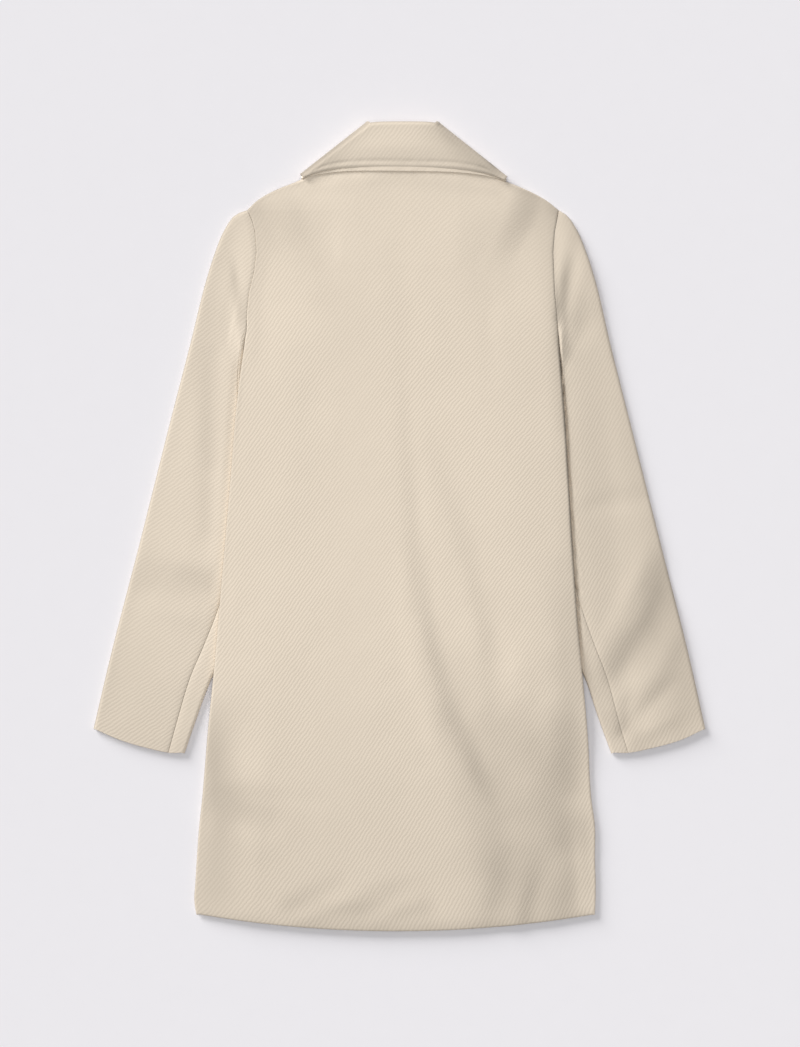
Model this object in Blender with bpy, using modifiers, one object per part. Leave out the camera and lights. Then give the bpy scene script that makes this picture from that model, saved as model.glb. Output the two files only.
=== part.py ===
"""A double-breasted coat laid flat on its front, seen from the back.

The garment lies on z = 0 with its hem towards -Y and its collar towards +Y. The wearer's right is
at +X. Tables are in millimetres, measured from the middle of the hem, and meshes are in metres.
"""

import math

import bmesh
import bpy
import numpy as np

MM = 0.001

# Driving sizes, in millimetres
MIDDLE_X = -0.7
MIDDLE_Y = 481.76
CLOTH = 2.0
SEAM_GAP = 0.3
EDGE_ROLL = 3.5
EDGE_THICK = 6.0
SLEEVE_THICK = 6.0
SLEEVE_LIFT = 6.5
OVERLAP_STEP = 2.85
FREE_EDGE_X = 75.0
NECK_BOTTOM_X = 7.5
NECK_BOTTOM_Y = 803.0
WING_LIFT = 5.3
VENT_TOP_Y = 127.0
HEM_SAG = 20.4
HEM_CORNER_Y = 15.8
COLLAR_THICK = 20.4
LEAST_AIR = 0.6
MOST_AIR = 3.3
# The back's lower side at the neck stands this high over the collar's stand, and a little less above
NECK_STAND = 12.85
NECK_STAND_DROP = 0.65
# How far the fronts' hem stops short of the back's
HEM_SHORT = 1.2

BUTTON_RADIUS = 12.5
BUTTON_THICK = 4.0
BUTTON_LIFT = BUTTON_THICK + SEAM_GAP
BUTTON_X = 50.0
BUTTON_ROWS = (440.0, 590.0, 740.0)
HOLE_RADIUS = 1.3
HOLE_OFFSET = 2.6
HOLE_CUT = 12.0

# Side edge of the body from the hem to the underarm: height, left, right
SIDES = (
    (15.8, -244.6, 234.0),
    (31.0, -247.0, 234.8),
    (55.0, -245.8, 235.0),
    (79.0, -244.4, 234.2),
    (127.0, -240.8, 233.8),
    (151.0, -238.2, 230.4),
    (223.0, -232.0, 226.0),
    (295.0, -224.8, 221.6),
    (382.0, -217.2, 216.6),
    (466.0, -210.0, 211.2),
    (550.0, -202.8, 204.8),
    (611.0, -198.0, 200.4),
    (664.0, -192.0, 195.2),
    (706.0, -186.0, 190.8),
    (715.0, -184.8, 189.6),
)
# Armhole from the underarm to the shoulder tip: height, left, right
ARMHOLES = (
    (715.0, -184.8, 189.6),
    (726.0, -184.2, 188.7),
    (739.0, -183.6, 187.6),
    (763.0, -181.2, 185.4),
    (787.0, -175.4, 184.5),
    (812.0, -172.4, 183.6),
    (837.0, -174.3, 185.7),
    (850.0, -177.8, 188.2),
    (862.0, -183.6, 190.4),
)
# Shoulder from its tip to the neck point: height, left, right
SHOULDERS = (
    (862.0, -183.6, 190.4),
    (876.0, -168.0, 172.0),
    (886.0, -149.0, 152.0),
    (896.0, -123.6, 127.0),
    (905.0, -106.0, 106.6),
    (915.0, -87.0, 89.0),
    (924.5, -68.0, 72.0),
)
# Outer edge of the sleeve from the shoulder tip to the cuff: left x, right x, height
SLEEVE_OUTER = (
    (-184.9, 191.7, 864.5),
    (-198.5, 200.3, 859.0),
    (-211.8, 213.4, 839.5),
    (-222.8, 224.6, 810.0),
    (-233.6, 235.4, 775.0),
    (-251.6, 252.4, 703.0),
    (-276.4, 276.6, 607.0),
    (-312.6, 312.8, 463.0),
    (-349.6, 349.0, 319.0),
    (-368.4, 367.0, 238.4),
)
# Inner edge of the sleeve, which goes under the body: left x, right x, height
SLEEVE_INNER = (
    (-185.6, 190.4, 714.0),
    (-188.4, 192.6, 690.0),
    (-191.4, 195.1, 667.0),
    (-190.0, 193.0, 638.0),
    (-180.5, 183.0, 600.0),
    (-171.0, 173.0, 550.0),
    (-169.0, 171.0, 500.0),
    (-173.0, 175.0, 440.0),
    (-190.0, 190.0, 375.0),
    (-208.0, 206.0, 335.0),
    (-226.0, 222.0, 300.0),
    (-246.0, 240.0, 247.0),
    (-259.0, 254.0, 209.0),
)
# Cuff from its inner to its outer corner: left x, right x, height
CUFFS = (
    (-259.0, 254.0, 209.0),
    (-277.0, 275.0, 208.8),
    (-300.0, 299.0, 213.6),
    (-337.0, 338.0, 224.6),
    (-368.4, 367.0, 238.4),
)
# Where the sleeve's two long seams run, as shares of its width: share of length, on top, beneath
SLEEVE_SEAMS = (
    (0.00, 0.10, 0.14),
    (0.15, 0.14, 0.20),
    (0.50, 0.19, 0.22),
    (0.80, 0.19, 0.20),
    (1.00, 0.15, 0.17),
)
# Largest folds of the back: start x, y, end x, y, height, half width
BACK_FOLDS = (
    (30.0, 466.0, 36.0, 388.0, -1.3, 13.0),
    (36.0, 388.0, 48.0, 303.0, -1.4, 13.0),
    (48.0, 303.0, 78.0, 219.0, -1.4, 13.0),
    (78.0, 219.0, 114.0, 171.0, -1.2, 14.0),
    (72.0, 363.0, 96.0, 243.0, 1.3, 16.0),
    (42.0, 574.0, 96.0, 363.0, -1.0, 18.0),
    (132.0, 106.0, 108.0, 22.0, -1.2, 15.0),
    (210.0, 136.0, 222.0, 58.0, 1.0, 12.0),
    (-120.0, 60.0, 0.0, 34.0, -1.0, 26.0),
)
# Largest folds of the sleeves' upper side, same columns
SLEEVE_FOLDS = (
    (-204.0, 820.0, -190.0, 735.0, -1.5, 12.0),
    (-214.0, 752.0, -200.0, 690.0, 1.3, 12.0),
    (-234.0, 682.0, -228.0, 514.0, -1.1, 14.0),
    (-236.0, 400.0, -300.0, 410.0, -1.4, 14.0),
    (211.0, 815.0, 193.0, 740.0, -1.6, 11.0),
    (264.0, 526.0, 294.0, 520.0, -1.0, 14.0),
    (314.0, 232.0, 306.0, 350.0, -0.6, 14.0),
    (314.0, 424.0, 252.0, 290.0, -1.5, 13.0),
)

MATERIALS = {
    "twill": ((0.72, 0.64, 0.54, 1.0), 0.85),
    "button": ((0.55, 0.46, 0.36, 1.0), 0.35),
}


# --- Curves read from tables ---------------------------------------------------------------------


def ramp(value, start, end):
    """Rises smoothly from 0 at start to 1 at end."""
    share = min(max((value - start) / (end - start), 0.0), 1.0)
    return share * share * (3.0 - 2.0 * share)


def smooth_read(keys, values, at):
    """A smooth curve through a table's rows, read at one key."""
    keys = np.asarray(keys, float)
    values = np.asarray(values, float)
    at = min(max(at, keys[0]), keys[-1])
    row = min(int(np.searchsorted(keys, at, side="right")) - 1, len(keys) - 2)
    slopes = np.gradient(values, keys)
    width = keys[row + 1] - keys[row]
    t = (at - keys[row]) / width
    start = (1 + 2 * t) * (1 - t) ** 2 * values[row] + t * (1 - t) ** 2 * width * slopes[row]
    end = t * t * (3 - 2 * t) * values[row + 1] - t * t * (1 - t) * width * slopes[row + 1]
    return float(start + end)


class Trace:
    """A smooth plan curve through points, read by its share of length."""

    def __init__(self, points, straight=False):
        self.straight = straight
        self.points = np.asarray(points, float)
        steps = np.hypot(*np.diff(self.points, axis=0).T)
        self.keys = np.concatenate([[0.0], np.cumsum(steps)])
        self.length = self.keys[-1]

    def at(self, share):
        key = share * self.length
        if self.straight:
            return np.array([np.interp(key, self.keys, self.points[:, axis]) for axis in (0, 1)])
        return np.array([smooth_read(self.keys, self.points[:, axis], key) for axis in (0, 1)])

    def along(self, share):
        """The direction of the curve."""
        step = self.at(min(share + 0.01, 1.0)) - self.at(max(share - 0.01, 0.0))
        return step / np.hypot(*step)


def body_edge(side, height):
    """The x of the body's outline at one height; side is -1 for left and 1 for right."""
    column = 1 if side < 0 else 2
    if SIDES[-1][0] < height <= ARMHOLES[-1][0]:
        return float(np.interp(height, [row[0] for row in ARMHOLES], [row[column] for row in ARMHOLES]))
    table = SIDES if height <= SIDES[-1][0] else SHOULDERS
    return smooth_read([row[0] for row in table], [row[column] for row in table], height)


def body_normal(side, height):
    """The plan direction that points out of the body's edge."""
    low = max(height - 3.0, HEM_CORNER_Y)
    high = min(height + 3.0, SHOULDERS[-1][0])
    tangent = np.array([body_edge(side, high) - body_edge(side, low), high - low])
    tangent /= np.hypot(*tangent)
    return np.array([side * tangent[1], -side * tangent[0]])


def side_points(table, side):
    column = 0 if side < 0 else 1
    return [(row[column], row[2]) for row in table]


# --- How high each layer lies --------------------------------------------------------------------


def edge_thick(height):
    """Thickness of the body at its edge, more where the collar's stand lies between its halves."""
    return EDGE_THICK + 2.0 * ramp(height, 893, 912)


def hidden_sleeve_edge(side, y):
    """How far out the sleeve's hidden inner edge lies."""
    rows = sorted((row[2], abs(row[0 if side < 0 else 1])) for row in SLEEVE_INNER if row[2] < 660)
    return smooth_read([row[0] for row in rows], [row[1] for row in rows], y)


def lift(x, y):
    """How high the front's right side lies, over sleeves, buttons and collar."""
    side = -1 if x < 0 else 1
    out = abs(x)
    edge = hidden_sleeve_edge(side, y)
    over_sleeve = SLEEVE_LIFT * ramp(out, edge - 84, edge - 22)
    over_sleeve *= ramp(y, 180, 285) * (1 - ramp(y, 716, 790))
    over_button = BUTTON_LIFT * ramp(out, 132, 82) * ramp(y, 325, 400) * ramp(y, 840, 780)
    wing_edge = 86 + 36 * ramp(y, 765, 900)
    over_wing = WING_LIFT * ramp(out, wing_edge + 54, wing_edge + 12) * ramp(y, 650, 742)
    return max(over_sleeve, over_button, over_wing)


def overlap_step(x, y, edge_from):
    """Extra height of what lies on the right front, near its free edge."""
    return OVERLAP_STEP * ramp(x, -edge_from - 50, -edge_from) * ramp(y, 852, 805)


def folds(table, x, y):
    """The sum of soft troughs and ridges at one place."""
    total = 0.0
    for x0, y0, x1, y1, height, half_width in table:
        run = np.array([x1 - x0, y1 - y0])
        reach = np.array([x - x0, y - y0])
        share = float(reach @ run / (run @ run))
        off = float(abs(reach[0] * run[1] - reach[1] * run[0]) / np.hypot(*run))
        ends = ramp(share, -0.25, 0.15) * ramp(share, 1.25, 0.85)
        total += height * math.exp(-((off / half_width) ** 2)) * ends
    return total


def back_air(x, y, inward):
    """The air between the back and what lies beneath it; inward is the way in from the edge."""
    beneath = lift(x, y) + CLOTH + overlap_step(x, y, 94) * ramp(x, 144, 94)
    level = 9.8 * ramp(y, 120, 300) + 2.6 * ramp(y, 720, 800) * ramp(abs(x), 150, 80)
    inner = LEAST_AIR + min(max(level - beneath - LEAST_AIR, 0.0), 2.3)
    inner = min(max(inner + folds(BACK_FOLDS, x, y), LEAST_AIR), MOST_AIR)
    edge = edge_thick(y) - 2 * CLOTH
    return edge + (inner - edge) * ramp(inward, 4, 30)


def back_top(x, y, inward):
    """The right side of the back."""
    low = lift(x, y) + CLOTH + overlap_step(x, y, 94) * ramp(x, 144, 94)
    low += back_air(x, y, inward)
    neck = (NECK_STAND - NECK_STAND_DROP * ramp(y, 830, 880)) * ramp(y, 745, 800) * ramp(abs(x), 122, 68)
    neck *= ramp(inward, 2, 24)
    return max(low, neck) + CLOTH


def left_front_low(x, y):
    return lift(x, y) + overlap_step(x, y, 94)


# --- Mesh makers ---------------------------------------------------------------------------------


def material(name):
    made = bpy.data.materials.get(name)
    if made:
        return made
    colour, roughness = MATERIALS[name]
    made = bpy.data.materials.new(name)
    made.use_nodes = True
    shader = made.node_tree.nodes["Principled BSDF"]
    shader.inputs["Base Color"].default_value = colour
    shader.inputs["Roughness"].default_value = roughness
    shader.inputs["Metallic"].default_value = 0.0
    made.diffuse_color = colour
    return made


def place(point):
    """A point of the tables, in metres about the part's origin."""
    x, y, z = point
    return ((x - MIDDLE_X) * MM, (y - MIDDLE_Y) * MM, z * MM)


def cloth(name, rows, collection, flip=False):
    """A grid bent to the panel's right side, given its wall inwards by Solidify."""
    count_y = len(rows)
    count_x = len(rows[0])
    mesh = bpy.data.meshes.new(name)
    shape = bmesh.new()
    bmesh.ops.create_grid(shape, x_segments=count_x - 1, y_segments=count_y - 1, size=1.0)
    shape.verts.ensure_lookup_table()
    ordered = sorted(shape.verts, key=lambda v: (round(v.co.y, 4), round(v.co.x, 4)))
    for index, vertex in enumerate(ordered):
        vertex.co = place(rows[index // count_x][index % count_x])
    if flip:
        bmesh.ops.reverse_faces(shape, faces=shape.faces)
    shape.to_mesh(mesh)
    shape.free()
    mesh.shade_smooth()
    mesh.set_sharp_from_angle(angle=math.radians(50))
    mesh.materials.append(material("twill"))
    panel = bpy.data.objects.new(name, mesh)
    collection.objects.link(panel)
    wall = panel.modifiers.new("Wall", "SOLIDIFY")
    wall.thickness = CLOTH * MM
    wall.offset = -1.0
    wall.use_even_offset = False
    wall.use_quality_normals = True
    return panel


# --- Body ----------------------------------------------------------------------------------------

ROLL_STEPS = 4
EDGE_LIP = 0.35
BACK_COLUMNS = 20
FRONT_COLUMNS = 9


def edge_band(height):
    """Out, down pairs across an edge: rolled at sides and shoulders, level at the armhole."""
    armhole = ramp(height, 716, 734) * ramp(height, 860, 848)
    rolled = 1.0 - armhole
    half = edge_thick(height) / 2
    open_by = 1.1 * ramp(height, VENT_TOP_Y + 12, VENT_TOP_Y - 18)
    underarm = ramp(height, 690, 712) * ramp(height, 745, 725)
    shoulder_tip = ramp(height, 838, 850) * ramp(height, 885, 868)
    open_by += 1.2 * (underarm + shoulder_tip)
    drop = half - SEAM_GAP / 2 - EDGE_LIP - open_by
    band = []
    for step in range(1, ROLL_STEPS + 1):
        turn = min(step / (ROLL_STEPS - 1), 1.0) * math.pi / 2
        flat_out = step / ROLL_STEPS
        out = flat_out * armhole + math.sin(turn) * rolled
        down = rolled * drop * (1 - math.cos(turn))
        if step == ROLL_STEPS:
            down += EDGE_LIP * rolled
        band.append((EDGE_ROLL * out, down))
    return band


def hem_shift(x, y):
    """The hem hangs in a shallow curve, which fades upwards."""
    share = (x - SIDES[0][1]) / (SIDES[0][2] - SIDES[0][1])
    sag = -HEM_SAG * 4 * share * (1 - share)
    return sag * ramp(y, 260, HEM_CORNER_Y)


def body_rows():
    """Heights of the body's sections."""
    below = [HEM_CORNER_Y, 22.0] + list(np.linspace(52, 697, 17))
    above = [row[0] for row in ARMHOLES]
    shoulder = [869.0, 881.0, 893.0, 904.0, 914.0, 924.5]
    return below + above + shoulder


def end_of_row(side, height, inset):
    """The panel's flat end, a roll's width inside the outline."""
    edge = np.array([body_edge(side, height), height])
    return edge - body_normal(side, height) * inset


def back_rows():
    rows = []
    for height in body_rows():
        left = end_of_row(-1, height, EDGE_ROLL)
        right = end_of_row(1, height, EDGE_ROLL)
        neck_bow = 3.0 * ramp(height, 900, 924.5)
        row = []
        for step in range(BACK_COLUMNS + 1):
            share = step / BACK_COLUMNS
            x, y = left + (right - left) * share
            y += hem_shift(x, height) + neck_bow * 4 * share * (1 - share)
            inward = min(share, 1 - share) * (right[0] - left[0])
            row.append((x, y, back_top(x, y, inward)))
        for side, index in ((-1, 0), (1, -1)):
            x, y = row[index][:2]
            row[index] = (x, y, lift(x, y) + edge_thick(height))
        for side, end in ((-1, row[0]), (1, row[-1])):
            normal = body_normal(side, height)
            band = []
            for out, down in edge_band(height):
                x, y = np.array(end[:2]) + normal * out
                band.append((x, y, end[2] - down))
            row = band[::-1] + row if side < 0 else row + band
        rows.append(row)
    return rows


# Sections of a front that end at its top corner and at the bottom of the neckline
CORNER_ROW = 739.0
NECK_ROW = 787.0
NECK_CLEARANCE = np.array([0.0, -2.0])


def inner_end(side, height):
    """The end of a front's section: free edge, top edge, then up the neckline."""
    if height <= 600:
        return np.array([-side * FREE_EDGE_X, height])
    corner_y = NECK_BOTTOM_Y - 6.0
    if height <= CORNER_ROW:
        rise = (height - 600) / (CORNER_ROW - 600)
        return np.array([-side * FREE_EDGE_X, 600 + rise * (corner_y - 600)])
    if height <= NECK_ROW:
        share = (height - CORNER_ROW) / (NECK_ROW - CORNER_ROW)
        x = -side * FREE_EDGE_X * (1 - share) + side * NECK_BOTTOM_X * share
        return np.array([x, corner_y + share * 6.0])
    top = end_of_row(side, SHOULDERS[-1][0], EDGE_ROLL) + NECK_CLEARANCE
    share = (height - NECK_ROW) / (SHOULDERS[-1][0] - NECK_ROW)
    return np.array([side * NECK_BOTTOM_X, NECK_BOTTOM_Y]) * (1 - share) + top * share


def front_rows(side):
    """Sections of one front from its rolled side to its free edge and neckline."""
    rows = []
    for height in body_rows():
        start = end_of_row(side, height, EDGE_ROLL)
        end = inner_end(side, height)
        row = []
        for step in range(FRONT_COLUMNS + 1):
            share = step / FRONT_COLUMNS
            x, y = start + (end - start) * share
            y += hem_shift(x, height) + HEM_SHORT * ramp(height, 60, HEM_CORNER_Y)
            low = left_front_low(x, y) if side < 0 else lift(x, y)
            row.append((x, y, low))
        normal = body_normal(side, height)
        first = row[0]
        for out, down in edge_band(height):
            x, y = np.array(first[:2]) + normal * out
            row.insert(0, (x, y, first[2] + down))
        rows.append(row)
    return rows


# --- Sleeves -------------------------------------------------------------------------------------

# Sections of a sleeve as shares of its length, and the turns of its rolled edges
SLEEVE_SHARES = (0.0, 0.008, 0.03, 0.06, 0.09, 0.13, 0.18, 0.24, 0.31, 0.38, 0.45, 0.52, 0.59, 0.65, 0.71,
                 0.78, 0.86, 0.94, 1.0)
EDGE_TURNS = (36, 72, 108, 144)
SLEEVE_LENGTH = 600


class Sleeve:
    """One sleeve's plan, read across its width and along its length."""

    def __init__(self, side):
        self.side = side
        armhole = []
        for row in ARMHOLES:
            gap = SEAM_GAP * 1.3 + 1.0 * ramp(row[0], 826, 862)
            gap += 0.4 * ramp(row[0], 715, 740) * ramp(row[0], 800, 780)
            armhole.append((row[1 if side < 0 else 2] + side * gap, row[0]))
        self.armhole = Trace(armhole, straight=True)
        self.outer = Trace(side_points(SLEEVE_OUTER, side))
        self.inner = Trace(side_points(SLEEVE_INNER, side))
        self.cuff = Trace(side_points(CUFFS, side))

    def across(self, curve, share, sign):
        """The plan direction out of the sleeve; at the armhole it runs along the seam."""
        along = curve.along(share)
        out = sign * self.side * np.array([-along[1], along[0]])
        seam = self.armhole.along(1.0) if sign > 0 else -self.armhole.along(0.0)
        out = seam + (out - seam) * ramp(share, 0.0, 0.04)
        return out / np.hypot(*out)

    def inset_at(self, curve, u):
        """A point of the armhole or cuff, between the rolls at its two ends."""
        end = EDGE_ROLL / curve.length
        return curve.at(end + u * (1 - 2 * end))

    def outer_share(self, v):
        """The outer edge runs ahead of the inner one, so that sections soon lie square."""
        return v + 0.2 * (1 - math.exp(-v / 0.07)) * (1 - v)

    def plan(self, u, v):
        """Inner edge at u = 0, outer edge at u = 1; armhole at v = 0, cuff at v = 1."""
        ahead = self.outer_share(v)
        starts = ramp(v, 0.04, 0.0)
        inner = self.inner.at(v) + (self.armhole.at(0) - self.inner.at(0)) * starts
        outer = self.outer.at(ahead) + (self.armhole.at(1) - self.outer.at(0)) * starts
        inner = inner - self.across(self.inner, v, -1) * EDGE_ROLL
        outer = outer - self.across(self.outer, ahead, 1) * EDGE_ROLL
        ends = [self.inset_at(self.armhole, share) * (1 - v) + self.inset_at(self.cuff, share) * v
                for share in (u, 0.0, 1.0)]
        return ends[0] + (1 - u) * (inner - ends[1]) + u * (outer - ends[2])

    def base(self, x, y, v):
        """The sleeve rises to the body at its armhole."""
        level = ramp(v * SLEEVE_LENGTH, 54, 4)
        edge_y = min(max(y, ARMHOLES[0][0]), ARMHOLES[-1][0])
        edge_x = body_edge(self.side, edge_y) - self.side * EDGE_ROLL
        return lift(edge_x, edge_y) * level

    def top(self, x, y, v):
        seen = ramp(v * SLEEVE_LENGTH, 8, 60) * ramp(v, 1.0, 0.95)
        shown = ramp(self.side * (x - body_edge(self.side, min(y, 715.0))), 0, 12) if y > 220 else 1.0
        return self.base(x, y, v) + SLEEVE_THICK + folds(SLEEVE_FOLDS, x, y) * seen * shown

    def ring(self, v, u_top, u_low, edge):
        """One section from the top seam round one edge to the seam beneath."""
        curve = self.inner if edge == "inner" else self.outer
        u_edge = 0.0 if edge == "inner" else 1.0
        out = self.across(curve, v, -1) if edge == "inner" else self.across(curve, self.outer_share(v), 1)
        flat_steps = 2 if edge == "inner" else 7
        points = []
        for step in range(flat_steps + 1):
            u = u_top + (u_edge - u_top) * step / flat_steps
            x, y = self.plan(u, v)
            points.append((x, y, self.top(x, y, v)))
        x, y, high = points[-1]
        low = self.base(x, y, v)
        for turn in EDGE_TURNS:
            angle = math.radians(turn)
            px, py = np.array([x, y]) + out * EDGE_ROLL * math.sin(angle)
            points.append((px, py, (high + low) / 2 + (high - low) / 2 * math.cos(angle)))
        low_steps = 2 if edge == "inner" else 4
        for step in range(low_steps + 1):
            u = u_edge + (u_low - u_edge) * step / low_steps
            x, y = self.plan(u, v)
            points.append((x, y, self.base(x, y, v)))
        return points


def seam_shares(v):
    keys = [row[0] for row in SLEEVE_SEAMS]
    return [smooth_read(keys, [row[column] for row in SLEEVE_SEAMS], v) for column in (1, 2)]


def make_sleeve(side, word, collection):
    plan = Sleeve(side)
    upper = []
    under = []
    for v in SLEEVE_SHARES:
        width = np.hypot(*(plan.plan(1, v) - plan.plan(0, v)))
        gap = (SEAM_GAP / 2 + 0.7 * ramp(v, 0.0, 0.03) * ramp(v, 0.3, 0.2)) / width
        on_top, beneath = seam_shares(v)
        upper.append(plan.ring(v, on_top + gap, beneath + gap, "outer"))
        under.append(plan.ring(v, on_top - gap, beneath - gap, "inner"))
    cloth("upper_sleeve_" + word, upper, collection, flip=side > 0)
    cloth("under_sleeve_" + word, under, collection, flip=side < 0)


# --- Collar --------------------------------------------------------------------------------------

# Key points of each half's plan: neck point, roll corner, leaf corner, then the front end's three
COLLAR_LEFT = {
    "neck": (-68.0, 925.5), "roll": (-42.0, 966.0), "leaf": (-120.0, 905.0),
    "neck_end": (-6.3, 805.2), "roll_end": (-0.8, 807.0), "leaf_end": (-85.0, 765.0),
}
COLLAR_RIGHT = {
    "neck": (72.0, 925.5), "roll": (48.0, 966.0), "leaf": (129.0, 902.0),
    "neck_end": (6.3, 805.2), "roll_end": (0.8, 807.0), "leaf_end": (91.0, 763.0),
}
LEAF_BOW = 13.0
NECK_BOW = 3.2
ROLL_RISE = 2.6
FOLD_OUT = (0.68, 0.733)
COLLAR_FRONT_STEPS = 6
COLLAR_BACK_STEPS = 9
FOLD_TURNS = (180, 150, 120, 90, 60, 30, 0)
# Lines of the collar from the neck seam over the roll to the leaf's edge: kind, share or turn
COLLAR_LINES = (
    ("stand", 0.0), ("stand", 0.5), ("stand", 0.9),
    ("arc", 0.0), ("arc", 45.0), ("arc", 90.0), ("arc", 135.0), ("arc", 180.0),
    ("leaf", 0.15), ("leaf", 0.4), ("leaf", 0.68), ("leaf", 0.92), ("leaf", 1.0),
)
# Half thickness of the collar at its right side, on the stand and on the leaf, the leaf's at its
# corner, and how much longer the leaf is
COLLAR_LAYERS = {
    "upper_collar": (0.4, 10.2, 6.4, 0.0),
    "under_collar": (5.4, 5.7, 1.5, 4.6),
}
UPPER_ROLL = 10.2
UPPER_CORNER = 6.4
STAND_ROOM = 5.4
ROLL_RADIUS = 4.9
# The longer under collar's roll lies this share of its extra length inside the upper collar's
ROLL_INSIDE = 0.25
BACK_UP = np.array([0.0, 1.0])


class CollarHalf:
    """One half's plan at its side fold and at its front end."""

    def __init__(self, layer, key_points, side):
        self.stand, self.leaf, self.corner, self.longer = COLLAR_LAYERS[layer]
        self.side = side
        self.radius = abs(self.leaf - self.stand) / 2
        self.out = np.array([side * FOLD_OUT[0], FOLD_OUT[1]])
        keys = {name: np.array(point) for name, point in key_points.items()}
        self.neck = keys["neck"] - self.out * STAND_ROOM
        inside = np.array([side * FOLD_OUT[1], -FOLD_OUT[0]]) * self.longer * ROLL_INSIDE
        self.roll = keys["roll"] - self.out * UPPER_ROLL + inside
        down = (keys["leaf"] - keys["roll"]) / np.hypot(*(keys["leaf"] - keys["roll"]))
        self.edge = keys["leaf"] - self.out * UPPER_CORNER + down * self.longer * 0.5
        self.neck_end = keys["neck_end"]
        run = keys["roll_end"] - keys["roll"]
        self.front_up = side * np.array([run[1], -run[0]]) / np.hypot(*run)
        self.roll_end = keys["roll_end"] - self.front_up * (ROLL_RADIUS + self.longer * ROLL_INSIDE)
        self.edge_end = keys["leaf_end"] + (keys["leaf_end"] - keys["roll_end"]) * self.longer * 0.008

    def fold_start(self, kind, value):
        """Where a line of the collar leaves the flat back and turns round the side."""
        if kind == "stand":
            return self.neck + (self.roll - self.neck) * value
        if kind == "arc":
            return self.roll
        return self.roll + (self.edge - self.roll) * value

    def bulge(self, kind, value, up):
        """How far the roll stands out past its centre line."""
        if kind != "arc":
            return np.zeros(2)
        return up / np.hypot(*up) * self.radius * math.sin(math.radians(value))

    def reach(self, kind, value):
        """How far out the side fold stands at a line of the collar."""
        if kind == "stand":
            return self.stand
        if kind == "arc":
            spread = (self.leaf - self.stand) / 2
            return self.stand + spread - spread * math.cos(math.radians(value))
        return self.leaf + (self.corner - self.leaf) * value

    def front_end(self, kind, value):
        if kind == "stand":
            return self.neck_end + (self.roll_end - self.neck_end) * value
        if kind == "arc":
            return self.roll_end
        return self.roll_end + (self.edge_end - self.roll_end) * value

    def height(self, kind, value, front, corner=0.0, raised=0.0):
        """Height of the right side; corner is 1 at the side folds and 0 at the middle of the back."""
        middle = COLLAR_THICK / 2
        sign = -1.0 if front else 1.0
        if kind == "stand":
            return middle + sign * self.stand + raised
        if kind == "arc":
            turn = math.cos(math.radians(value))
            across = (self.stand + self.leaf) / 2 - (self.leaf - self.stand) / 2 * turn
            return middle + sign * across + raised * (1 + turn) / 2
        sink = 0.0 if front else (0.3 + 2.4 * corner) * value
        return middle + sign * self.leaf - sink


def collar_front(half):
    """Sections from the front end to the side fold, on the ground side."""
    rows = []
    for step in range(COLLAR_FRONT_STEPS):
        share = step / COLLAR_FRONT_STEPS
        raised = OVERLAP_STEP * ramp(share, 0.6, 0.05) if half.side < 0 else 0.0
        row = []
        for kind, value in COLLAR_LINES:
            start = half.front_end(kind, value)
            x, y = start + (half.fold_start(kind, value) - start) * share
            x, y = np.array([x, y]) + half.bulge(kind, value, half.front_up)
            row.append((x, y, half.height(kind, value, True, raised=raised)))
        rows.append(row)
    return rows


def roll_rise(kind, value):
    """The back of the roll stands this much above its corners."""
    if kind == "arc":
        return ROLL_RISE
    return ROLL_RISE * (value if kind == "stand" else 1 - value)


def collar_fold(half):
    """Sections round the side fold, from the ground side to the top."""
    rows = []
    for turn in FOLD_TURNS:
        angle = math.radians(turn)
        row = []
        for kind, value in COLLAR_LINES:
            flat = half.fold_start(kind, value)
            flat = flat + half.bulge(kind, value, BACK_UP + (half.front_up - BACK_UP) * turn / 180)
            if turn < 90:
                flat = flat + BACK_UP * roll_rise(kind, value) * (1 - math.sin(angle)) ** 2
            x, y = flat + half.out * half.reach(kind, value) * math.sin(angle)
            high = half.height(kind, value, False, corner=1.0)
            low = half.height(kind, value, True)
            row.append((x, y, (high + low) / 2 + (high - low) / 2 * math.cos(angle)))
        rows.append(row)
    return rows


def collar_rows(layer):
    left = CollarHalf(layer, COLLAR_LEFT, -1)
    right = CollarHalf(layer, COLLAR_RIGHT, 1)
    rows = collar_front(left) + collar_fold(left)
    for step in range(1, COLLAR_BACK_STEPS):
        share = step / COLLAR_BACK_STEPS
        bow = 1 - (2 * share - 1) ** 4
        row = []
        for kind, value in COLLAR_LINES:
            start = left.fold_start(kind, value)
            x, y = start + (right.fold_start(kind, value) - start) * share
            y += roll_rise(kind, value) + left.bulge(kind, value, BACK_UP)[1]
            if kind == "leaf":
                y += bow * value * (LEAF_BOW - left.longer * 0.6)
            if kind == "stand":
                y += bow * (1 - value) * NECK_BOW
            corner = (2 * share - 1) ** 2
            row.append((x, y, left.height(kind, value, False, corner=corner)))
        rows.append(row)
    return rows + collar_fold(right)[::-1] + collar_front(right)[::-1]


# --- Buttons -------------------------------------------------------------------------------------


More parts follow.
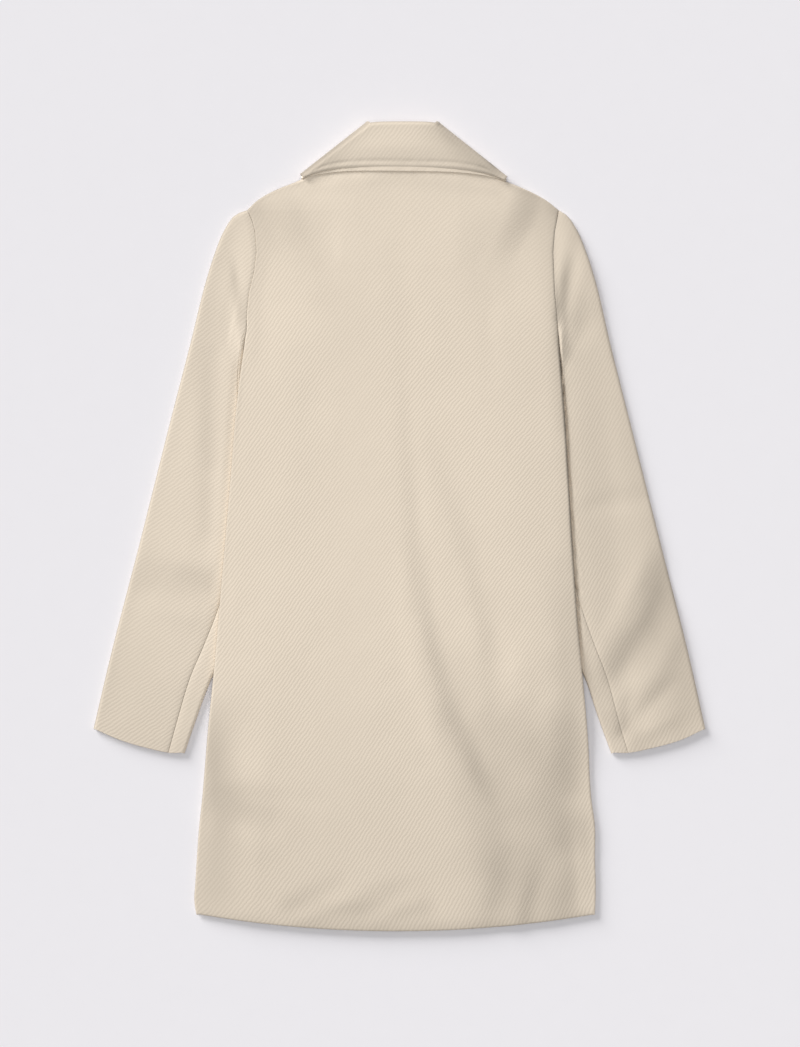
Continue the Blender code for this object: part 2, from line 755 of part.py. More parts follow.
def button(name, x, y, collection, cutters):
    """A turned disc with a raised rim and four holes, its face on the ground."""
    outline = (
        (0.0, 1.0),
        (7.8, 1.0),
        (9.4, 0.0),
        (11.6, 0.0),
        (BUTTON_RADIUS, 1.2),
        (10.8, BUTTON_THICK),
        (0.0, BUTTON_THICK),
    )
    mesh = bpy.data.meshes.new(name)
    shape = bmesh.new()
    lathe = [shape.verts.new((r * MM, 0.0, z * MM)) for r, z in outline]
    for first, second in zip(lathe, lathe[1:]):
        shape.edges.new((first, second))
    bmesh.ops.spin(shape, geom=shape.verts[:] + shape.edges[:], axis=(0, 0, 1), cent=(0, 0, 0),
                   angle=2 * math.pi, steps=16, use_merge=True)
    bmesh.ops.remove_doubles(shape, verts=shape.verts, dist=0.00003)
    bmesh.ops.recalc_face_normals(shape, faces=shape.faces)
    shape.to_mesh(mesh)
    shape.free()
    mesh.shade_smooth()
    mesh.set_sharp_from_angle(angle=math.radians(35))
    mesh.materials.append(material("button"))
    disc = bpy.data.objects.new(name, mesh)
    seat = min(lift(x, y - BUTTON_RADIUS), lift(x, y + BUTTON_RADIUS))
    disc.location = place((x, y, seat - SEAM_GAP - BUTTON_THICK))
    collection.objects.link(disc)
    for turn in range(4):
        angle = math.radians(45 + 90 * turn)
        px = x + HOLE_OFFSET * math.sqrt(2) * math.cos(angle)
        py = y + HOLE_OFFSET * math.sqrt(2) * math.sin(angle)
        middle = place((px, py, BUTTON_THICK / 2))
        bpy.ops.mesh.primitive_cylinder_add(vertices=5, radius=HOLE_RADIUS * MM,
                                            depth=HOLE_CUT * MM, location=middle)
        cutter = bpy.context.object
        cutter.name = f"{name}_hole_{turn}"
        cutter.hide_render = True
        cutter.display_type = "WIRE"
        for owner in list(cutter.users_collection):
            owner.objects.unlink(cutter)
        cutters.objects.link(cutter)
        cut = disc.modifiers.new(f"Hole {turn}", "BOOLEAN")
        cut.operation = "DIFFERENCE"
        cut.solver = "EXACT"
        cut.object = cutter


# --- The coat ------------------------------------------------------------------------------------


def new_collection(name):
    made = bpy.data.collections.new(name)
    bpy.context.scene.collection.children.link(made)
    return made


def main():
    for thing in list(bpy.data.objects):
        bpy.data.objects.remove(thing, do_unlink=True)
    coat = new_collection("Double-breasted coat")
    cutters = new_collection("Cutters")
    cloth("back", back_rows(), coat)
    cloth("front_left", front_rows(-1), coat, flip=True)
    cloth("front_right", front_rows(1), coat)
    make_sleeve(-1, "left", coat)
    make_sleeve(1, "right", coat)
    cloth("upper_collar", collar_rows("upper_collar"), coat)
    cloth("under_collar", collar_rows("under_collar"), coat, flip=True)
    for row, y in enumerate(BUTTON_ROWS):
        button(f"button_left_{row + 1}", -BUTTON_X, y, coat, cutters)
        button(f"button_right_{row + 1}", BUTTON_X, y, coat, cutters)


main()
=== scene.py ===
"""The looks of a double-breasted coat laid flat on its front, seen from the back.

Each cloth node gets a fine shell on its solid's form, with its creases and seams, and a twill
made of shader nodes. Sizes and tables are in millimetres, measured from the middle of the hem,
with the collar towards +Y and the wearer's right at +X. A panel's right side is its outer one.
"""

import math

import bmesh
import bpy
import numpy as np
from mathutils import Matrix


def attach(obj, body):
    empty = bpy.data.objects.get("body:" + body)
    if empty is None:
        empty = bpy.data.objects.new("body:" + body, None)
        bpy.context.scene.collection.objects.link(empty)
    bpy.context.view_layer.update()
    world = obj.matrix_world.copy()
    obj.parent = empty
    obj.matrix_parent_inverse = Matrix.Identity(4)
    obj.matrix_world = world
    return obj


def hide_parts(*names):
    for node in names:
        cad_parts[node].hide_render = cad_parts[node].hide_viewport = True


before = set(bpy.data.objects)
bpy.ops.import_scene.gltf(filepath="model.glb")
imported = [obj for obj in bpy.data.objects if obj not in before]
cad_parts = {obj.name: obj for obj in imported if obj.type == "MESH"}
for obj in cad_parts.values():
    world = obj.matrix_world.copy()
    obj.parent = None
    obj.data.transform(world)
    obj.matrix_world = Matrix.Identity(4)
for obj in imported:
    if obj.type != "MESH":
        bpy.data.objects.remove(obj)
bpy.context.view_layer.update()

MM = 0.001
PER_CENT = 0.01
# Where the part's origin lies on the tables
MIDDLE_X = -0.7
MIDDLE_Y = 481.76

# --- Sizes of the coat, in millimetres ---

# From one panel's right side to the next one's, the wall of a shell, and the gap at a seam
PANEL_GAP = 2.0
WALL = 1.5
SEAM_GAP = 0.3
# How far in an edge's roll begins, and how thick the body is there
EDGE_ROLL = 3.5
EDGE_THICK = 6.0
SLEEVE_THICK = 6.0
# How much the sleeves and the lap of the fronts lift what lies over them
SLEEVE_LIFT = 6.5
OVERLAP_STEP = 2.85
# How far from the middle the lap lifts in full, and how far past it the fronts' free edges lie
LAP_EDGE_X = 94.0
FREE_EDGE_X = 75.0
NECK_BOTTOM_X = 7.5
NECK_BOTTOM_Y = 803.0
WING_LIFT = 5.3
VENT_TOP_Y = 127.0
HEM_SAG = 20.4
HEM_CORNER_Y = 15.8
COLLAR_THICK = 20.4
LEAST_AIR = 0.6
BUTTON_THICK = 4.0
BUTTON_LIFT = BUTTON_THICK + SEAM_GAP
BUTTON_RADIUS = 12.5
BUTTON_X = 50.0
BUTTON_ROWS = (440.0, 590.0, 740.0)
HOLE_OFFSET = 2.6
UNDERARM_Y = 715.0
SHOULDER_TIP_Y = 862.0
# How deep the cloth is pressed along the armhole, on both sides of its seam
ARMHOLE_PRESS = 0.25

# Side edge of the body from the hem to the underarm: height, left, right
SIDES = (
    (15.8, -244.6, 234),
    (31, -247, 234.8),
    (55, -245.8, 235),
    (79, -244.4, 234.2),
    (127, -240.8, 233.8),
    (151, -238.2, 230.4),
    (223, -232, 226),
    (295, -224.8, 219.8),
    (382, -217.2, 212.2),
    (466, -210, 206.8),
    (550, -202.8, 201.6),
    (611, -198, 198.2),
    (664, -192, 193.6),
    (706, -186, 190.2),
    (715, -184.8, 189.6),
)
# Armhole from the underarm to the shoulder tip: height, left, right
ARMHOLES = (
    (715, -184.8, 189.6),
    (726, -184.2, 188.7),
    (739, -183.6, 187.6),
    (763, -181.2, 185.4),
    (787, -175.4, 184.5),
    (812, -172.4, 183.6),
    (837, -174.3, 185.7),
    (850, -177.8, 188.2),
    (862, -183.6, 190.4),
)
# Shoulder from its tip to the neck point: height, left, right
SHOULDERS = (
    (862, -183.6, 190.4),
    (876, -168, 172),
    (886, -149, 152),
    (896, -123.6, 127),
    (905, -106, 106.6),
    (915, -87, 89),
    (924.5, -68, 72),
)
# Outer edge of the sleeve from the shoulder tip to the cuff: left x, right x, height
SLEEVE_OUTER = (
    (-184.9, 191.7, 864.5),
    (-198.5, 200.3, 859),
    (-211.8, 213.4, 839.5),
    (-222.8, 224.6, 810),
    (-233.6, 235.4, 775),
    (-251.6, 252.4, 703),
    (-276.4, 276.6, 607),
    (-312.6, 312.8, 463),
    (-349.6, 349, 319),
    (-368.4, 367, 238.4),
)
# Inner edge of the sleeve, which goes under the body: left x, right x, height
SLEEVE_INNER = (
    (-185.6, 190.4, 714),
    (-188.4, 191.8, 690),
    (-190.6, 193.6, 667),
    (-190, 191, 638),
    (-180.5, 183, 600),
    (-171, 173, 550),
    (-169, 171, 500),
    (-173, 175, 440),
    (-190, 190, 375),
    (-208, 206, 335),
    (-226, 222, 300),
    (-246, 240, 247),
    (-259, 254, 209),
)
# Cuff from its inner to its outer corner: left x, right x, height
CUFFS = (
    (-259, 254, 209),
    (-277, 275, 208.8),
    (-300, 299, 213.6),
    (-337, 338, 224.6),
    (-368.4, 367, 238.4),
)
# Where the sleeve's two long seams run, as shares of its width: share of length, on top, beneath
SLEEVE_SEAMS = (
    (0, 0.015, 0.14),
    (0.12, 0.02, 0.2),
    (0.24, 0.09, 0.21),
    (0.5, 0.19, 0.22),
    (0.8, 0.19, 0.2),
    (1, 0.15, 0.17),
)

# --- Creases, placed from the photo ---

# Creases of the back: half width, then x, y and height of each point along it
BACK_FOLDS = (
    (12, (4, 700, 0), (13, 580, -0.7), (22, 462, -1), (35, 384, -1.4),
     (50, 320, -1.9), (70, 248, -2.1), (96, 187, -1.7), (122, 140, -0.6), (135, 100, 0)),
    (15, (2, 480, 0), (8, 390, 0.5), (24, 300, 0.8), (45, 220, 0.8), (70, 150, 0)),
    (14, (32, 617, 0), (57, 539, -0.6), (83, 462, -0.8), (103, 384, -0.9),
     (119, 320, -0.5), (128, 290, 0)),
    (17, (84, 420, 0), (92, 330, 0.8), (100, 260, 0.9), (112, 215, 0)),
    (20, (141, 360, 0), (143, 310, 0.9), (150, 285, 0.6), (165, 270, 0)),
    (22, (128, 262, 0), (160, 240, -0.8), (190, 200, -1.2), (194, 140, -0.8),
     (190, 110, 0)),
    (16, (135, 110, 0), (126, 60, -1), (114, 20, -1.2), (110, 0, -0.9)),
    (14, (152, 90, 0), (146, 40, 1), (140, 5, 1)),
    (15, (178, 95, 0), (166, 50, -0.8), (156, 5, -0.9)),
    (12, (214, 140, 0), (218, 80, 1.1), (224, 25, 1)),
    (22, (-236, 235, 0), (-215, 165, -0.9), (-190, 140, -1.2), (-156, 118, -0.7),
     (-135, 112, 0)),
    (16, (-240, 190, 0), (-225, 130, 0.6), (-170, 96, 0.7), (-140, 92, 0)),
    (9, (-225, 160, 0), (-170, 160, -0.35), (-110, 152, -0.25), (-80, 150, 0)),
    (14, (-142, 22, 0), (-110, 36, -0.8), (-78, 50, -0.7), (-56, 62, 0)),
    (12, (-150, 6, 0), (-115, 12, 0.6), (-80, 24, 0.7), (-50, 36, 0)),
    (11, (-52, 16, -0.5), (-30, 33, -1.2), (-10, 42, -1), (14, 50, -0.4), (32, 56, 0)),
    (12, (-30, 6, 0.4), (-8, 18, 0.8), (20, 29, 0.5), (40, 34, 0)),
    (16, (-169, 830, 0), (-170, 780, -0.6), (-164, 710, -0.5), (-160, 650, 0)),
    (20, (-106, 700, 0), (-104, 630, -0.4), (-100, 540, 0)),
    (18, (-2, 850, 0), (0, 800, -0.45), (14, 720, -0.5), (20, 640, 0)),
    (14, (98, 850, 0), (100, 800, -0.4), (109, 694, -0.4), (114, 620, 0)),
)
# Creases of the sleeves' upper side, same columns
SLEEVE_FOLDS = (
    (9, (-209, 850, 0), (-206, 820, -1.4), (-196, 770, -1.6), (-188, 730, -0.8),
     (-187, 695, 0)),
    (7, (-184, 850, 0), (-183, 820, 0.8), (-185, 760, 0.9), (-187, 715, 0)),
    (12, (-222, 800, 0), (-214, 750, 0.5), (-205, 690, 0.5), (-208, 600, 0.8),
     (-214, 480, 0.6), (-216, 430, 0)),
    (14, (-238, 750, 0), (-231, 688, -0.9), (-228, 590, -1), (-229, 475, -0.9),
     (-232, 430, 0)),
    (16, (-312, 440, 0), (-285, 426, -1.2), (-255, 416, -1.6), (-222, 408, -1.6),
     (-205, 404, -1)),
    (16, (-320, 380, 0), (-290, 384, 0.8), (-250, 374, 1), (-226, 366, 0)),
    (10, (211, 850, 0), (208, 825, -1.3), (200, 780, -2), (193, 738, -1.8),
     (194, 700, 0)),
    (7, (191, 852, 0), (190, 820, 0.7), (187, 775, 0.7), (188, 745, 0)),
    (12, (221, 850, 0), (216, 800, 0.9), (209, 745, 0.9), (207, 690, 0)),
    (13, (232, 506, -0.5), (262, 512, -0.8), (292, 514, -0.6), (308, 512, 0)),
    (15, (326, 462, 0), (316, 420, -1.8), (300, 362, -2.2), (272, 320, -1.9),
     (252, 286, -1.2), (243, 262, 0)),
    (14, (302, 470, 0), (286, 420, 1), (262, 365, 1.2), (244, 325, 0.9), (236, 300, 0)),
    (14, (342, 400, 0), (330, 350, 1), (310, 306, 1.2), (290, 286, 0.8), (272, 270, 0)),
    (10, (338, 306, 0), (318, 284, -1), (290, 256, -1.1), (268, 232, -0.8)),
    (8, (282, 292, 0), (274, 268, -0.9), (270, 235, -0.9)),
    (10, (345, 270, 0), (325, 252, 0.6), (300, 235, 0.5)),
)
# Where the twill runs on each panel: x, y, angle of its ribs above the horizontal
GRAIN_BACK = (
    (-146, 802, 53), (0, 802, 50), (113, 802, 44),
    (-146, 634, 56), (0, 634, 53), (170, 634, 49),
    (-175, 466, 54), (-89, 466, 57), (26, 466, 54), (170, 466, 49),
    (-175, 298, 51), (0, 298, 50), (80, 298, 50), (170, 298, 54),
    (-146, 214, 53), (0, 214, 51), (141, 190, 48),
    (-146, 130, 55), (-31, 130, 59), (26, 130, 56), (113, 120, 76),
    (-204, 58, 46), (-118, 58, 54), (0, 58, 58), (113, 58, 72), (170, 58, 76),
)
GRAIN_SLEEVE_LEFT = (
    (-204, 760, 39), (-204, 634, 39), (-233, 634, 41), (-262, 550, 34),
    (-233, 466, 37), (-290, 382, 32), (-250, 330, 38), (-300, 280, 38),
)
GRAIN_SLEEVE_RIGHT = (
    (204, 790, 66), (228, 634, 63), (257, 550, 60), (286, 466, 57),
    (228, 466, 61), (257, 382, 60), (286, 298, 66), (314, 298, 62),
)
GRAIN_COLLAR = (
    (-80, 935, 56), (0, 940, 52), (80, 935, 47),
    (-80, 820, 54), (80, 820, 48),
)
# Painted light and shade: lighter and darker stretches of the colour, which stand in for the shading of
# creases, crevices, cast shadows and the light's fall across the coat, in the creases' columns, with
# per cent of the colour as the last
BACK_PAINTED_SHADING = (
    (150, (-250, -20, -10), (-40, 0, -4), (240, -20, -8)),
    (60, (170, 700, -3), (190, 480, -5), (200, 300, -5)),
    (30, (120, 895, -3), (160, 880, -10), (186, 850, -12), (190, 770, -10), (196, 680, -3)),
    (14, (190, 760, -5), (196, 650, -9), (212, 466, -10), (222, 290, -7)),
    (15, (6, 700, 0), (22, 462, -4), (50, 320, -10), (70, 248, -12), (96, 187, -12),
     (125, 140, -6)),
    (18, (32, 617, 0), (83, 462, -5), (110, 350, -5), (122, 300, 0)),
    (40, (140, 225, -7), (185, 190, -10), (175, 110, -10), (160, 40, -13), (150, 0, -12)),
    (16, (193, 240, -4), (196, 180, -8), (190, 110, -5)),
    (12, (124, 62, 0), (116, 24, -3)),
    (12, (-180, 866, -7), (-112, 900, -5)),
    (9, (136, 893, -4), (186, 866, -12)),
    (4, (184, 750, 0), (187, 728, -12), (189, 705, -14), (192, 680, 0)),
    (9, (214, 138, 0), (218, 80, 10), (224, 22, 10)),
    (26, (-236, 235, -6), (-212, 165, -10), (-180, 142, -10), (-148, 120, -3)),
    (12, (-140, 24, -3), (-100, 40, -5), (-75, 50, -3)),
    (12, (-45, 22, -5), (-10, 42, -8), (20, 52, -3)),
    (11, (-234, 8, -10), (-120, -4, -10), (0, -8, -10), (120, -4, -10), (228, 8, -8)),
    (3, (-118, 897, 16), (-90, 901, 8), (0, 908, 4), (90, 901, 8), (124, 896, 16)),
    (9, (-110, 885, -7), (0, 898, -4), (116, 884, -7)),
    (30, (150, 230, -5), (145, 120, -6), (140, 40, -4)),
    (3, (-186.5, 700, -8), (-203.5, 550, -14), (-210.5, 466, -14), (-225.5, 295, -10)),
    (26, (-178, 872, -8), (-172, 800, -6), (-165, 700, 0)),
    (170, (-60, 100, -4), (60, 100, -4)),
    (26, (-224, 250, -4), (-215, 130, -15), (-222, 50, -9)),
    (30, (85, 310, -5), (90, 225, -10), (100, 150, -13), (115, 60, -13), (110, 10, -5)),
    (18, (195, 430, -6), (200, 330, -12), (205, 240, -13), (208, 170, -11)),
    (20, (210, 125, -16), (208, 60, -18), (200, 20, -14)),
    (10, (186, 870, -8), (190, 720, -6), (196, 600, -5)),
    (1.8, (188, 725, 0), (192, 680, -40), (197.4, 611, -50), (201.2, 550, -50), (206.2, 466, -50),
     (211.6, 382, -30), (218.2, 300, 0)),
    (2.5, (188.4, 862, -6), (183, 812, -14), (187, 730, -14)),
    (3.5, (-182, 862, -3), (-171.8, 812, -5), (-182, 740, -6), (-184, 700, 0)),
    (11, (-120, 4, -5), (0, -2, -8), (120, 4, -5)),
    (14, (-130, 26, -6), (-30, 20, -11), (25, 26, -8)),
    (34, (-142, 852, -11.5), (-100, 770, -7.5)),
)
SLEEVE_PAINTED_SHADING = (
    (20, (-315, 416, -6), (-270, 412, -11), (-225, 407, -12)),
    (30, (-300, 350, -2), (-250, 360, -2)),
    (12, (-231, 688, -3), (-228, 475, -5)),
    (60, (-350, 200, -7), (-262, 190, -7)),
    (16, (-225, 800, -3), (-300, 520, -4), (-366, 260, -5)),
    (8, (-206, 828, -3), (-196, 770, -6), (-188, 730, -6)),
    (110, (225, 820, -5), (255, 520, -11.5), (330, 260, -11.5)),
    (20, (240, 750, -3), (300, 520, -9), (340, 360, -9), (362, 260, -8)),
    (18, (322, 446, -6), (312, 395, -17), (296, 352, -17), (268, 316, -13), (250, 284, -7)),
    (9, (210, 832, -6), (199, 775, -13), (192, 735, -15)),
    (2.5, (190.4, 862, -8), (184.6, 812, -22), (188.7, 730, -22)),
    (5.5, (206, 815, 0), (197, 780, -18), (192, 745, -14)),
    (3.5, (-183.6, 862, -3), (-173.4, 812, -3), (-183.6, 740, -6), (-186, 700, 0)),
    (6, (-204, 815, 0), (-199, 780, -14), (-194, 745, -13), (-188, 705, -5)),
    (10, (-210, 752, -2), (-207, 728, -5), (-204, 700, -2)),
    (70, (-335, 300, -7), (-260, 260, -5)),
    (14, (-226, 800, -5), (-224, 700, -7), (-226, 560, -6)),
    (26, (312, 400, -7), (325, 300, -10), (332, 240, -10)),
    (22, (258, 250, -12), (285, 220, -13)),
    (12, (204, 856, -12), (226, 818, -12), (242, 770, -10), (262, 690, -9)),
    (12, (-202, 852, -8), (-222, 805, -4)),
)
COLLAR_PAINTED_SHADING = (
    (20, (60, 958, -6), (96, 935, -14), (124, 906, -16)),
    (18, (42, 956, -8), (72, 940, -13), (95, 920, -6)),
    (14, (-60, 946, -6), (-84, 926, -9)),
    (18, (-55, 955, -4), (-100, 920, -10), (-116, 904, -8)),
    (8, (-112, 908, -8), (0, 916, -9), (116, 908, -10)),
    (9, (46, 968, -16), (62, 950, -10)),
    (13, (84, 944, -6), (112, 918, -12)),
    (2.2, (92, 933, 0), (104, 923.5, -45), (114, 915, -50), (118, 911, 0)),
    (5, (-46, 963, -10), (-112, 910, -12)),
    (4, (-122, 906, -20), (-116, 899, -20)),
    (7, (-46, 966, -7), (48, 966, -8)),
)
# Where the ribs fade, also in per cent
RIB_FADES = (
    (75, (-180, 870, -55), (0, 900, -50), (190, 860, -65)),
    (34, (-70, 800, -30), (-52, 620, -50), (-48, 400, -50), (-72, 230, -40), (-86, 120, -25)),
    (30, (-226, 260, -50), (-222, 40, -40)),
    (40, (95, 780, -25), (120, 650, -25), (130, 600, 0)),
    (45, (-20, 800, -25), (60, 800, -15), (170, 785, -25)),
    (60, (-230, 740, -25), (-320, 320, -35)),
    (60, (230, 760, -30), (325, 320, -40)),
)


# --- Curves and heights ---


def ramp(value, start, end):
    """Rises smoothly from 0 at start to 1 at end."""
    share = np.clip((value - start) / (end - start), 0.0, 1.0)
    return share * share * (3.0 - 2.0 * share)


def smooth_read(keys, values, at):
    """A smooth curve through a table's rows, read at many keys."""
    keys = np.asarray(keys, float)
    values = np.asarray(values, float)
    at = np.clip(at, keys[0], keys[-1])
    row = np.clip(np.searchsorted(keys, at, side="right") - 1, 0, len(keys) - 2)
    slopes = np.gradient(values, keys)
    width = keys[row + 1] - keys[row]
    t = (at - keys[row]) / width
    start = (1 + 2 * t) * (1 - t) ** 2 * values[row] + t * (1 - t) ** 2 * width * slopes[row]
    end = t * t * (3 - 2 * t) * values[row + 1] - t * t * (1 - t) * width * slopes[row + 1]
    return start + end


def column(table, index):
    """One column of a table."""
    return [row[index] for row in table]


def soft_noise(x, y, size, seed):
    """Smooth random heights from -1 to 1, about size across."""
    count = 64
    lattice = np.random.default_rng(seed).uniform(-1.0, 1.0, (count, count))
    across = x / size + 1000.37
    up = y / size + 1000.71
    left = np.floor(across).astype(int)
    low = np.floor(up).astype(int)
    right_share = ramp(across - left, 0.0, 1.0)
    high_share = ramp(up - low, 0.0, 1.0)
    rows = []
    for row in (low % count, (low + 1) % count):
        ends = lattice[left % count, row], lattice[(left + 1) % count, row]
        rows.append(ends[0] * (1 - right_share) + ends[1] * right_share)
    return rows[0] * (1 - high_share) + rows[1] * high_share


def relief(x, y, seed):
    """The uneven lie of thick cloth: a few tenths of a millimetre at several sizes."""
    turned_x = x * 0.8 + y * 0.6
    turned_y = y * 0.8 - x * 0.6
    total = 0.34 * soft_noise(turned_x, turned_y * 0.55, 95.0, seed)
    total += 0.16 * soft_noise(turned_y, turned_x * 0.7, 42.0, seed + 1)
    total += 0.06 * soft_noise(turned_x, turned_y, 17.0, seed + 2)
    return total


class Trace:
    """A smooth plan curve through points, read by shares of its length."""

    def __init__(self, points, straight=False):
        self.straight = straight
        self.points = np.asarray(points, float)
        steps = np.hypot(*np.diff(self.points, axis=0).T)
        self.keys = np.concatenate([[0.0], np.cumsum(steps)])
        self.length = self.keys[-1]

    def at(self, share):
        """The points at shares of the length."""
        key = np.asarray(share) * self.length
        if self.straight:
            return np.stack([np.interp(key, self.keys, values) for values in self.points.T], -1)
        return np.stack([smooth_read(self.keys, values, key) for values in self.points.T], -1)

    def along(self, share):
        """The direction of the curve."""
        step = self.at(np.minimum(share + 0.01, 1.0)) - self.at(np.maximum(share - 0.01, 0.0))
        return unit(step)


def unit(vectors):
    """The same directions, each 1 long."""
    return vectors / np.linalg.norm(vectors, axis=-1, keepdims=True)


def body_edge(side, height):
    """The x of the body's outline at each height; side is -1 for left and 1 for right."""
    index = 1 if side < 0 else 2
    below = smooth_read(column(SIDES, 0), column(SIDES, index), height)
    armhole = np.interp(height, column(ARMHOLES, 0), column(ARMHOLES, index))
    above = smooth_read(column(SHOULDERS, 0), column(SHOULDERS, index), height)
    return np.where(height <= UNDERARM_Y, below, np.where(height <= SHOULDER_TIP_Y, armhole, above))


def body_normal(side, height):
    """The plan direction that points out of the body's edge."""
    low = np.maximum(height - 3.0, HEM_CORNER_Y)
    high = np.minimum(height + 3.0, SHOULDERS[-1][0])
    run = unit(np.stack([body_edge(side, high) - body_edge(side, low), high - low], -1))
    return np.stack([side * run[..., 1], -side * run[..., 0]], -1)


def side_points(table, side):
    """One sleeve's points of a table."""
    index = 0 if side < 0 else 1
    return [(row[index], row[2]) for row in table]


def edge_thick(height):
    """Thickness of the body at its edge, more where the collar's stand lies between its halves."""
    return EDGE_THICK + 2.0 * ramp(height, 893, 912)


def hidden_sleeve_edge(side, y):
    """How far out the sleeve's hidden inner edge lies."""
    rows = sorted((height, abs(x)) for x, height in side_points(SLEEVE_INNER, side) if height < 660)
    return smooth_read(column(rows, 0), column(rows, 1), y)


def at_armhole(height):
    """1 along the armhole, and 0 below and above it."""
    return ramp(height, 716, 734) * ramp(height, 860, 848)


def lift(x, y):
    """How high the front's right side lies, over sleeves, buttons and collar."""
    out = np.abs(x)
    edge = np.where(x < 0, hidden_sleeve_edge(-1, y), hidden_sleeve_edge(1, y))
    over_sleeve = SLEEVE_LIFT * ramp(out, edge - 84, edge - 22)
    over_sleeve = over_sleeve * ramp(y, 180, 285) * (1 - ramp(y, 690, 850))
    over_button = BUTTON_LIFT * ramp(out, 132, 82) * ramp(y, 325, 400) * ramp(y, 840, 780)
    wing_edge = 86 + 36 * ramp(y, 765, 900)
    over_wing = WING_LIFT * ramp(out, wing_edge + 54, wing_edge + 12) * ramp(y, 650, 742)
    return np.maximum(over_sleeve, np.maximum(over_button, over_wing))


def overlap_step(x, y):
    """Extra height of what lies on the right front, near its free edge."""
    return OVERLAP_STEP * ramp(x, -LAP_EDGE_X - 50, -LAP_EDGE_X) * ramp(y, 852, 805)


def off_stretch(x, y, start, end):
    """How far places are from a straight stretch, and at which share of it they are nearest."""
    run_x = end[0] - start[0]
    run_y = end[1] - start[1]
    share = ((x - start[0]) * run_x + (y - start[1]) * run_y) / (run_x**2 + run_y**2)
    share = np.clip(share, 0.0, 1.0)
    return np.hypot(x - start[0] - share * run_x, y - start[1] - share * run_y), share


def folds(table, x, y):
    """The sum of soft uneven troughs and ridges, each along its own line of points."""
    total = np.zeros(np.broadcast(x, y).shape)
    for index, (half_width, *line) in enumerate(table):
        nearest = np.full(total.shape, np.inf)
        value = np.zeros(total.shape)
        uneven = 1.0 + 0.22 * soft_noise(x + 3.0 * index, y, 34.0, 50 + index)
        for start, end in zip(line, line[1:]):
            off, share = off_stretch(x, y, start, end)
            closer = off < nearest
            nearest = np.where(closer, off, nearest)
            value = np.where(closer, start[2] + (end[2] - start[2]) * share, value)
        total = total + value * np.exp(-((nearest / (half_width * uneven)) ** 2))
    return total


def soft_floor(value):
    """Stays a little above zero without a kink."""
    return 0.5 * (value + np.sqrt(value * value + 0.7))


def back_top(x, y, inward):
    """The right side of the back: one soft crown over all that lies beneath, and its creases."""
    beneath = lift(x, y) + PANEL_GAP + overlap_step(x, y) * ramp(x, LAP_EDGE_X + 50, LAP_EDGE_X)
    neck = (12.85 - 0.65 * ramp(y, 830, 880)) * ramp(y, 745, 800) * ramp(np.abs(x), 122, 68)
    beneath = np.maximum(beneath, (neck - LEAST_AIR) * ramp(inward, 2, 24))
    crown = 6.1 + 5.2 * ramp(y, 30, 340) + 1.9 * ramp(y, 620, 800)
    calm = 1 - 0.8 * ramp(y, 850, 900)
    uneven = (folds(BACK_FOLDS, x, y) + relief(x, y, 7)) * ramp(inward, 0, 16) * calm
    upper = ramp(y, 780, 860)
    edge = lift_at_edge(x, y) * (1 - upper) + lift(x, y) * upper + edge_thick(y) - PANEL_GAP
    level = edge + (crown - edge) * ramp(inward, 0, 75 + 50 * ramp(y, 640, 760))
    clear = beneath + LEAST_AIR * 0.4
    return clear + soft_floor(level + uneven - clear) + PANEL_GAP


def to_shoulder(x, y):
    """How far a place is from the nearer shoulder's outline."""
    distance = np.full(x.shape, np.inf)
    for column_index in (1, 2):
        points = [(row[column_index], row[0]) for row in SHOULDERS]
        for start, end in zip(points, points[1:]):
            distance = np.minimum(distance, off_stretch(x, y, start, end)[0])
    return distance


def lift_at_edge(x, y):
    """How high the front lies at the body's edge on this side."""
    height = np.clip(y, HEM_CORNER_Y, SHOULDERS[-1][0])
    left = lift(body_edge(-1, height) + EDGE_ROLL, height)
    right = lift(body_edge(1, height) - EDGE_ROLL, height)
    return np.where(x < 0, left, right)


# --- Materials ---

RIB_PITCH = 4.0
FLOAT_LENGTH = 2.2
# The twill's lighter and darker colours, mixed by random fuzz specks and by rib height, which paints
# shade into the grooves; then a darker dye for uneven blotches
LIGHT = (0.8, 0.708, 0.592, 1.0)
DARK = (0.715, 0.626, 0.516, 1.0)
SHADE = (0.72, 0.625, 0.512, 1.0)


class Grain:
    """A smooth field, a polynomial of x and y, whose level lines run at the angles of a table."""

    SPAN = 400.0

    def __init__(self, table):
        degree = min(3, 1 + len(table) // 6)
        self.powers = [(i, j) for i in range(degree + 1) for j in range(degree + 1 - i) if i + j > 0]
        x = np.array(column(table, 0)) / self.SPAN
        y = (np.array(column(table, 1)) - MIDDLE_Y) / self.SPAN
        angle = np.radians(column(table, 2))
        slope_x = [i * x ** max(i - 1, 0) * y**j for i, j in self.powers]
        slope_y = [j * x**i * y ** max(j - 1, 0) for i, j in self.powers]
        slopes = np.concatenate([np.array(slope_x).T, np.array(slope_y).T])
        wanted = np.concatenate([np.sin(angle), -np.cos(angle)])
        self.weights = np.linalg.lstsq(slopes, wanted, rcond=None)[0]
        self.mean = float(angle.mean())

    def read(self, x, y):
        """Millimetres across the ribs and along them."""
        sx = x / self.SPAN
        sy = (y - MIDDLE_Y) / self.SPAN
        across = sum(w * sx**i * sy**j for w, (i, j) in zip(self.weights, self.powers)) * self.SPAN
        along = x * math.cos(self.mean) + y * math.sin(self.mean)
        return np.stack([across, along], -1)


